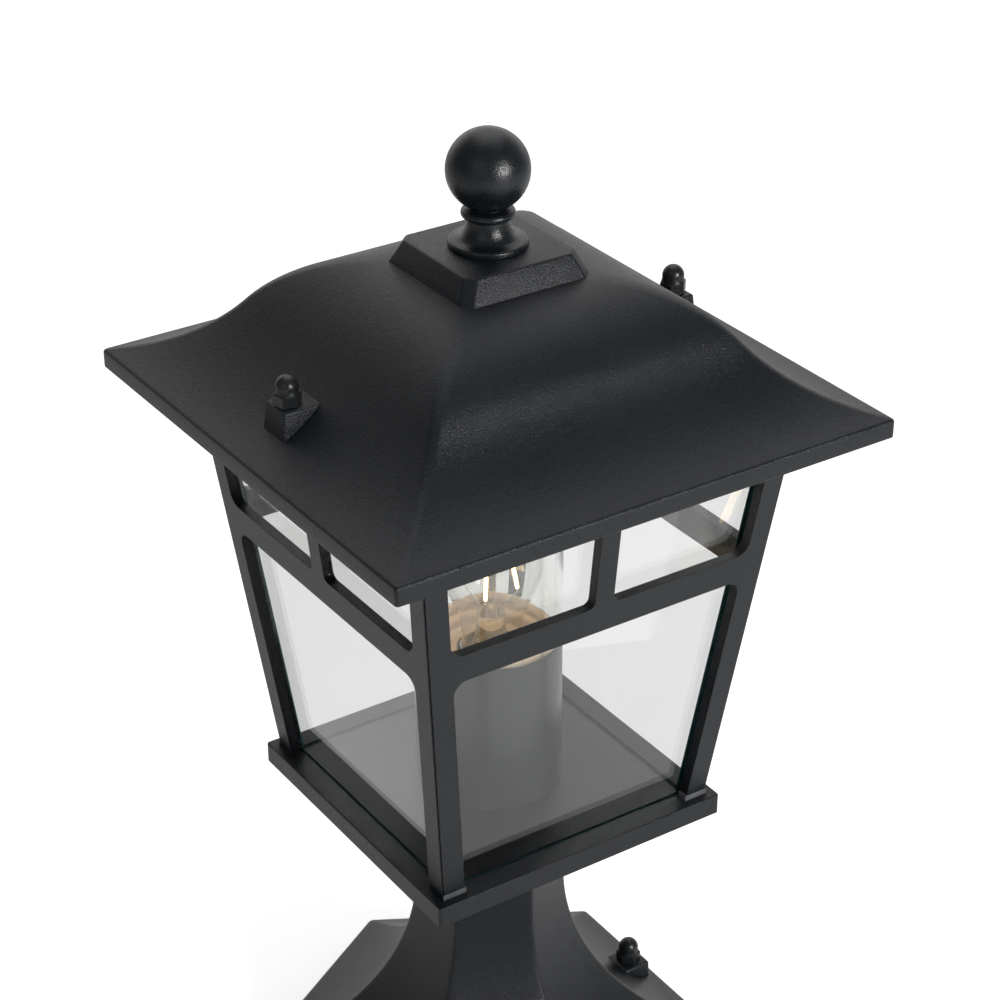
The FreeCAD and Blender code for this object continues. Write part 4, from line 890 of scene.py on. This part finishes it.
# The foot pads' light grey is a painted highlight: it stands in for the light that the ledge at each
# leg's foot catches from the right front.
PAD_PAINTED_HIGHLIGHT = painted("foot_pad_painted_highlight", (0.045, 0.047, 0.05), (0.12, 0.123, 0.13), 0.35, 1500.0, 0.4, 0.2)
STEEL = metal("zinc_plated_steel", (0.45, 0.46, 0.47), (0.6, 0.61, 0.62), 0.35)
BRASS = metal("plain_brass", (0.6, 0.42, 0.16), (0.75, 0.55, 0.25), 0.32)
ALLOY = metal("cap_alloy", (0.68, 0.68, 0.69), (0.82, 0.82, 0.83), 0.28)
RUBBER = plastic("grommet_rubber", (0.02, 0.02, 0.02), (0.03, 0.03, 0.03), 0.7)
TERMINAL = plastic("terminal_white", (0.72, 0.71, 0.67), (0.8, 0.79, 0.75), 0.4)
# Holder and dish: their warm tan base is partly their own cream colour and partly painted lamplight,
# and their emission is painted lamplight.
HOLDER = add_painted_lamplight(plastic("holder_cream_and_painted_lamplight", (0.58, 0.48, 0.36), (0.7, 0.58, 0.45), 0.22), PAINTED_LAMPLIGHT_FACING_UP)
DISH = add_painted_lamplight(plastic("dish_cream_and_painted_lamplight", (0.58, 0.475, 0.36), (0.68, 0.56, 0.43), 0.22), PAINTED_LAMPLIGHT_FACING_UP)
INSULATOR = plastic("cap_insulator", (0.02, 0.02, 0.025), (0.03, 0.03, 0.035), 0.15)
BROWN = plastic("lead_brown_sleeve", (0.12, 0.05, 0.025), (0.16, 0.07, 0.035), 0.45)
BLUE = plastic("lead_blue_sleeve", (0.02, 0.07, 0.3), (0.03, 0.1, 0.38), 0.45)
PANE = clear_glass("pane_glass", (0.965, 0.972, 0.966))
PANE_EDGE = plastic("pane_edge_teal", (0.022, 0.085, 0.08), (0.03, 0.11, 0.1), 0.15)
LAMP_GLASS = clear_glass("cylinder_glass", (0.93, 0.935, 0.92))
BULB_GLASS = clear_glass("bulb_clear_glass", (0.99, 0.99, 0.985))
# The stem's emission is painted lamplight, and its warm tint is partly the glass and partly painted
# lamplight.
STEM_GLASS = clear_glass("stem_glass_painted_lamplight", (0.99, 0.94, 0.86), wave=0.3,
                         painted_lamplight=(1.0, 0.72, 0.44), painted_lamplight_strength=0.05)


def striped_lead():
    """Green and yellow stripes of the earth lead."""
    mat, tree, shader = material("lead_earth_sleeve")
    coords = tree.nodes.new("ShaderNodeTexCoord")
    wave = tree.nodes.new("ShaderNodeTexWave")
    wave.inputs["Scale"].default_value = 60.0
    tree.links.new(coords.outputs["Object"], wave.inputs["Vector"])
    colour = ramp(tree, wave.outputs["Fac"], 0.45, 0.55, (0.03, 0.25, 0.04), (0.75, 0.62, 0.04))
    tree.links.new(colour.outputs["Color"], shader.inputs["Base Color"])
    shader.inputs["Roughness"].default_value = 0.45
    return mat


def lit_filament():
    mat, tree, shader = material("lit_filament")
    tex = noise(tree, 900.0, 2.0)
    colour = ramp(tree, tex.outputs["Fac"], 0.35, 0.65, (1.0, 0.62, 0.24), (1.0, 0.8, 0.45))
    tree.links.new(colour.outputs["Color"], shader.inputs["Base Color"])
    tree.links.new(colour.outputs["Color"], shader.inputs["Emission Color"])
    shader.inputs["Emission Strength"].default_value = 6.0
    return mat


EARTH = striped_lead()
FILAMENT = lit_filament()


def paint_object(obj, mat):
    obj.data.materials.clear()
    obj.data.materials.append(mat)


for obj in (roof, pedestal):
    paint_object(obj, PAINT)
paint_object(tube, TUBE_PAINT)
paint_object(finial, PAINT_BALL)
for obj in bpy.data.objects:
    if obj.name.endswith("_cap") and "_nut_" in obj.name:
        paint_object(obj, NUT_BLACK)
paint_object(dish, DISH)
paint_object(ring, HOLDER)
paint_object(cylinder, LAMP_GLASS)
paint_object(bulb, BULB_GLASS)
paint_object(stem, STEM_GLASS)
paint_object(cap, ALLOY)
paint_object(filaments, FILAMENT)

# The CAD's own nodes that keep their meshes, by material.
CARRIED = (
    (PAINT, "tray frame_front frame_back frame_left frame_right corner_angles"),
    (PAD_PAINTED_HIGHLIGHT, "foot_pads"),
    (STEEL, "mounting_bar base_studs roof_studs roof_brackets bracket_screws frame_screws"),
    (STEEL, "clip_screws pane_clips finial_stud finial_nut nipple nipple_nuts terminal_screws"),
    (BRASS, "earth_screw holder_contact"),
    (ALLOY, "holder_shell bulb_contact filament_wires"),
    (HOLDER, "lampholder"),
    (INSULATOR, "bulb_insulator"),
    (RUBBER, "cable_grommet"),
    (TERMINAL, "terminal_block"),
    (BROWN, "lead_line"),
    (BLUE, "lead_neutral"),
    (EARTH, "lead_earth"))
for mat, nodes in CARRIED:
    for node in nodes.split():
        obj = frame["nodes"][node]
        for slot in obj.material_slots:
            slot.material = mat
        if not obj.material_slots:
            obj.data.materials.append(mat)


# ---------------------------------------------------------------- glass panes
SIDE_PANE_TRIM = 1.8
GROUND_EDGE = 0.35
SMALLEST_PANE_FACE = 0.005  # in square metres; smaller faces are edges


def ground_pane(side):
    """A pane with its cut edges ground: the edges and their bevels carry the teal edge material.

    The left and right panes are trimmed at both sides, so that their edges show beside the legs.
    """
    source = frame["nodes"]["pane_" + side]
    work = bmesh.new()
    work.from_mesh(source.data)
    work.transform(source.matrix_world)
    if side in ("left", "right"):
        for vert in work.verts:
            vert.co.y -= math.copysign(SIDE_PANE_TRIM * MM, vert.co.y)
    bmesh.ops.remove_doubles(work, verts=work.verts, dist=1e-6)
    bmesh.ops.dissolve_limit(work, angle_limit=math.radians(1.0), verts=work.verts,
                             edges=work.edges)
    bmesh.ops.bevel(work, geom=list(work.edges), offset=GROUND_EDGE * MM, segments=2,
                    profile=0.5, affect="EDGES")
    for face in work.faces:
        face.material_index = 0 if face.calc_area() > SMALLEST_PANE_FACE else 1
    obj = finish_mesh("pane_" + side + "_ground", work, 20)
    obj.data.materials.append(PANE)
    obj.data.materials.append(PANE_EDGE)
    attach(obj, "base")
    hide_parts("pane_" + side)


for side in ("front", "back", "left", "right"):
    ground_pane(side)


# ---------------------------------------------------------------- floor, light and camera
FLOOR_HALF = 6.0
FLOOR_LIFT_SEEN = 0.5
FLOOR_LIFT_THROUGH_GLASS = 0.12
ROOM_LIGHT = 0.45
ROOM_SEEN = 1.0
SWEEP_TOWARDS = (0.556, 0.831, 0.0)
SWEEP_EDGE = (0.4, 0.85)
SWEEP_GAIN = (-0.27, 0.55)
SENSOR = 36.0
LENS = SENSOR * 2.5724
CAMERA_PLACE = (-0.5105, -0.7706, 0.8228)
CAMERA_AZIMUTH = -33.81
CAMERA_ELEVATION = 29.29


def floor_material():
    """A pale floor, lifted where the camera sees it, also through glass."""
    mat, tree, shader = material("studio_floor")
    tex = noise(tree, 3.0, 2.0)
    colour = ramp(tree, tex.outputs["Fac"], 0.3, 0.7, (0.88, 0.88, 0.88), (0.9, 0.9, 0.9))
    tree.links.new(colour.outputs["Color"], shader.inputs["Base Color"])
    shader.inputs["Roughness"].default_value = 0.9
    shader.inputs["Specular IOR Level"].default_value = 0.1
    path = tree.nodes.new("ShaderNodeLightPath")
    through = spread(tree, path.outputs["Is Transmission Ray"], 0.0, 1.0, 0.0,
                     FLOOR_LIFT_THROUGH_GLASS)
    lift = tree.nodes.new("ShaderNodeMath")
    lift.operation = "MULTIPLY_ADD"
    lift.inputs[1].default_value = FLOOR_LIFT_SEEN
    tree.links.new(path.outputs["Is Camera Ray"], lift.inputs[0])
    tree.links.new(through.outputs["Result"], lift.inputs[2])
    shader.inputs["Emission Color"].default_value = WHITE
    tree.links.new(lift.outputs["Value"], shader.inputs["Emission Strength"])
    return mat


def make_floor():
    work = bmesh.new()
    bmesh.ops.create_grid(work, x_segments=8, y_segments=8, size=FLOOR_HALF)
    mesh = bpy.data.meshes.new("floor")
    work.to_mesh(mesh)
    work.free()
    obj = new_object("floor", mesh)
    obj.data.materials.append(floor_material())
    return obj


floor = make_floor()


def make_world():
    """A white surround for the camera and through glass, and a dimmer room as light.

    Gloss sees a white sweep behind the lantern and a darker room elsewhere, as in a studio.
    """
    world = bpy.data.worlds.new("studio")
    bpy.context.scene.world = world
    world.use_nodes = True
    tree = world.node_tree
    back = tree.nodes["Background"]
    path = tree.nodes.new("ShaderNodeLightPath")
    seen = tree.nodes.new("ShaderNodeMath")
    seen.operation = "MAXIMUM"
    tree.links.new(path.outputs["Is Camera Ray"], seen.inputs[0])
    tree.links.new(path.outputs["Is Transmission Ray"], seen.inputs[1])
    strength = spread(tree, seen.outputs["Value"], 0.0, 1.0, ROOM_LIGHT, ROOM_SEEN)
    coords = tree.nodes.new("ShaderNodeTexCoord")
    facing = tree.nodes.new("ShaderNodeVectorMath")
    facing.operation = "DOT_PRODUCT"
    facing.inputs[1].default_value = SWEEP_TOWARDS
    tree.links.new(coords.outputs["Generated"], facing.inputs[0])
    sweep = spread(tree, facing.outputs["Value"], *SWEEP_EDGE, *SWEEP_GAIN)
    mirrored = tree.nodes.new("ShaderNodeMath")
    mirrored.operation = "MULTIPLY_ADD"
    tree.links.new(path.outputs["Is Glossy Ray"], mirrored.inputs[0])
    tree.links.new(sweep.outputs["Result"], mirrored.inputs[1])
    tree.links.new(strength.outputs["Result"], mirrored.inputs[2])
    tree.links.new(mirrored.outputs["Value"], back.inputs["Strength"])
    back.inputs["Color"].default_value = WHITE


make_world()


def area_light(name, place, target_z, size, power):
    """A square white softbox, in metres and watts, aimed at a height on the lantern's axis."""
    data = bpy.data.lights.new(name, "AREA")
    data.shape = "RECTANGLE"
    data.size = size
    data.size_y = size
    data.energy = power
    obj = bpy.data.objects.new(name, data)
    bpy.context.scene.collection.objects.link(obj)
    obj.location = place
    aim = Vector((0.0, 0.0, target_z)) - Vector(place)
    obj.rotation_euler = aim.to_track_quat("-Z", "Y").to_euler()


area_light("key_softbox", (0.3, -1.75, 0.82), 0.34, 0.5, 30.0)
area_light("fill_softbox", (-1.6, -0.9, 1.2), 0.25, 1.2, 2.5)
area_light("top_softbox", (0.4, 0.5, 1.9), 0.3, 1.4, 8.0)


def make_camera():
    """A long lens at the photograph's viewing angle."""
    data = bpy.data.cameras.new("camera")
    data.sensor_width = SENSOR
    data.lens = LENS
    data.clip_start = 0.01
    obj = bpy.data.objects.new("camera", data)
    bpy.context.scene.collection.objects.link(obj)
    azimuth = math.radians(CAMERA_AZIMUTH)
    elevation = math.radians(CAMERA_ELEVATION)
    back = Vector((math.sin(azimuth) * math.cos(elevation), -math.cos(azimuth) * math.cos(elevation),
                   math.sin(elevation)))
    obj.location = CAMERA_PLACE
    obj.rotation_euler = (-back).to_track_quat("-Z", "Y").to_euler()
    bpy.context.scene.camera = obj


make_camera()
bpy.context.scene.view_settings.view_transform = "Standard"

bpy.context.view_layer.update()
